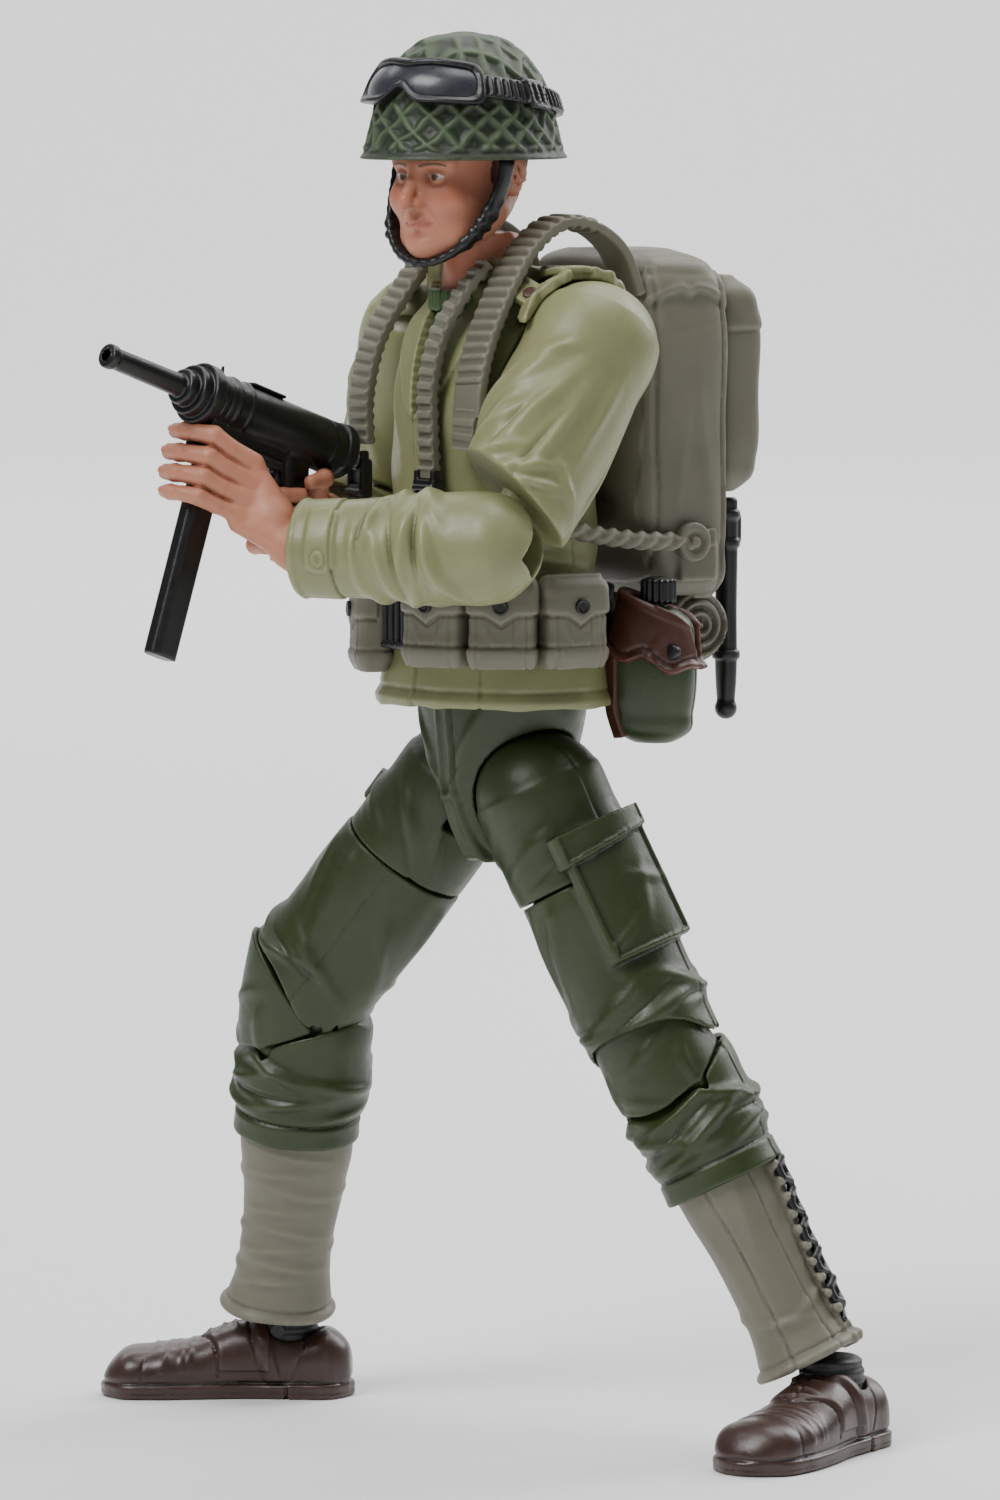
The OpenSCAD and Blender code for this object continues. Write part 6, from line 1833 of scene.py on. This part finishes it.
def make_gun_magazine():
    b = Block((-1.6, -2.0, -16.9), (1.6, 2.0, -0.4), 0.09)
    p = b.p
    d = brick(p, (0, 0, -8.6), (0.76, 1.16, 7.5), 0.18)
    d = meet(d, -(p[2] + 16.4) * 0.8 - 0.3 * p[1] - 0.1, 0.2)
    bevel = (abs(p[0]) + abs(p[1]) - 1.55) / 1.414
    d = b.full(meet(d, bevel, 0.1))
    skin("gun_magazine_sculpt", b, d, MAGAZINE, "gun", GUN_BLACK, ["gun_magazine"])


# ---- everything, floor, light and camera ---------------------------------------------------------

for make in (make_head, make_neck, make_helmet, make_goggles, make_chin_strap, make_jacket,
             make_undershirt,
             make_epaulettes, make_harness, make_pack, make_pack_pocket, make_pack_roll,
             make_scabbard, make_belt,
             make_belt_buckle, make_pouches, make_canteen, make_canteen_cap, make_canteen_cover,
             make_skirt, make_pelvis):
    make()
for each in SIDE:
    for make in (make_upper_arm, make_forearm, make_hand, make_thigh_top, make_thigh, make_knee,
                 make_shin, make_gaiter,
                 make_shoe):
        make(each)
for make in (make_gun, make_gun_barrel, make_gun_magazine):
    make()

INNER = {"shoulder_hub": JOINT_BLACK, "elbow_peg": JACKET, "wrist_peg": SKIN,
         "hip_hub": JOINT_BLACK,
         "ankle_peg": JOINT_BLACK}
inner = [(f"{each}_{node}", material) for node, material in INNER.items() for each in SIDE]
for node, material in inner + [("waist_peg", JACKET)]:
    for slot in frame["nodes"][node].material_slots:
        slot.material = material


CENTRE = BODY[:3, 3] * MM
TOWARD = np.array((0.819, -0.574, 0))  # from the figure to the camera, on the floor
ACROSS = np.array((0.574, 0.819, 0))  # to the camera's right


def make_floor():
    """A paper cove: a floor strip that curves up into a wall behind the figure."""
    mesh = bpy.data.meshes.new("floor")
    near, wall, radius, top, half = -1.8, 1.7, 0.35, 2.4, 2.2
    run = [(near, 0.0)]
    for a in np.linspace(0, math.pi / 2, 16):
        run.append((wall - radius + radius * math.sin(a), radius - radius * math.cos(a)))
    run.append((wall, top))
    verts = [(*(-TOWARD[:2] * r + ACROSS[:2] * w), h) for r, h in run for w in (-half, half)]
    faces = [(2 * i, 2 * i + 1, 2 * i + 3, 2 * i + 2) for i in range(len(run) - 1)]
    mesh.from_pydata(verts, [], faces)
    for poly in mesh.polygons:
        poly.use_smooth = True
    mat = bpy.data.materials.new("floor_paper")
    mat.use_nodes = True
    paper = mat.node_tree.nodes["Principled BSDF"].inputs
    paper["Base Color"].default_value = (0.86, 0.86, 0.86, 1)
    paper["Roughness"].default_value = 0.9
    mesh.materials.append(mat)
    obj = bpy.data.objects.new("floor", mesh)
    bpy.context.collection.objects.link(obj)


def aim(obj, target):
    obj.rotation_euler = (Vector(target) - obj.location).to_track_quat("-Z", "Y").to_euler()


def lamp(name, location, size, power, aim_at=(0, 0, 0.05)):
    data = bpy.data.lights.new(name, "AREA")
    data.shape = "RECTANGLE"
    data.size, data.size_y = size
    data.energy = power
    obj = bpy.data.objects.new(name, data)
    bpy.context.collection.objects.link(obj)
    obj.location = location
    aim(obj, aim_at)
    return obj


def spot(forward, sideways, height):
    """A place seen from the figure: metres toward the camera, to its right and up."""
    return tuple(CENTRE + TOWARD * forward + ACROSS * sideways + (0, 0, height))


make_floor()
lamp("key", spot(0.26, -0.26, 0.46), (0.26, 0.26), 2.5)
lamp("top", spot(-0.04, 0.1, 0.56), (0.34, 0.34), 1.8)
lamp("rim", spot(-0.26, 0.34, 0.3), (0.2, 0.35), 1.3)
lamp("fill", spot(0.6, 0.3, 0.12), (0.4, 0.3), 0.2)
lamp("wall", spot(-0.85, 0.0, 0.85), (1.6, 1.0), 20.0,
     aim_at=spot(-1.35, 0, 0.0)).visible_camera = False
world = bpy.data.worlds.new("studio")
world.use_nodes = True
sky = world.node_tree.nodes["Background"].inputs
sky["Color"].default_value = (0.92, 0.95, 1.0, 1)
sky["Strength"].default_value = 0.17
bpy.context.scene.world = world

lens = bpy.data.cameras.new("camera")
lens.sensor_fit = "VERTICAL"
lens.sensor_height = 36
lens.lens = 208.8
lens.clip_start, lens.clip_end = 0.01, 10
camera = bpy.data.objects.new("camera", lens)
bpy.context.collection.objects.link(camera)
camera.location = Vector(CENTRE) + Vector((0.4915, -0.3441, 0.1))
aim(camera, Vector(CENTRE) + Vector((0, 0, 0.0474)))
bpy.context.scene.camera = camera
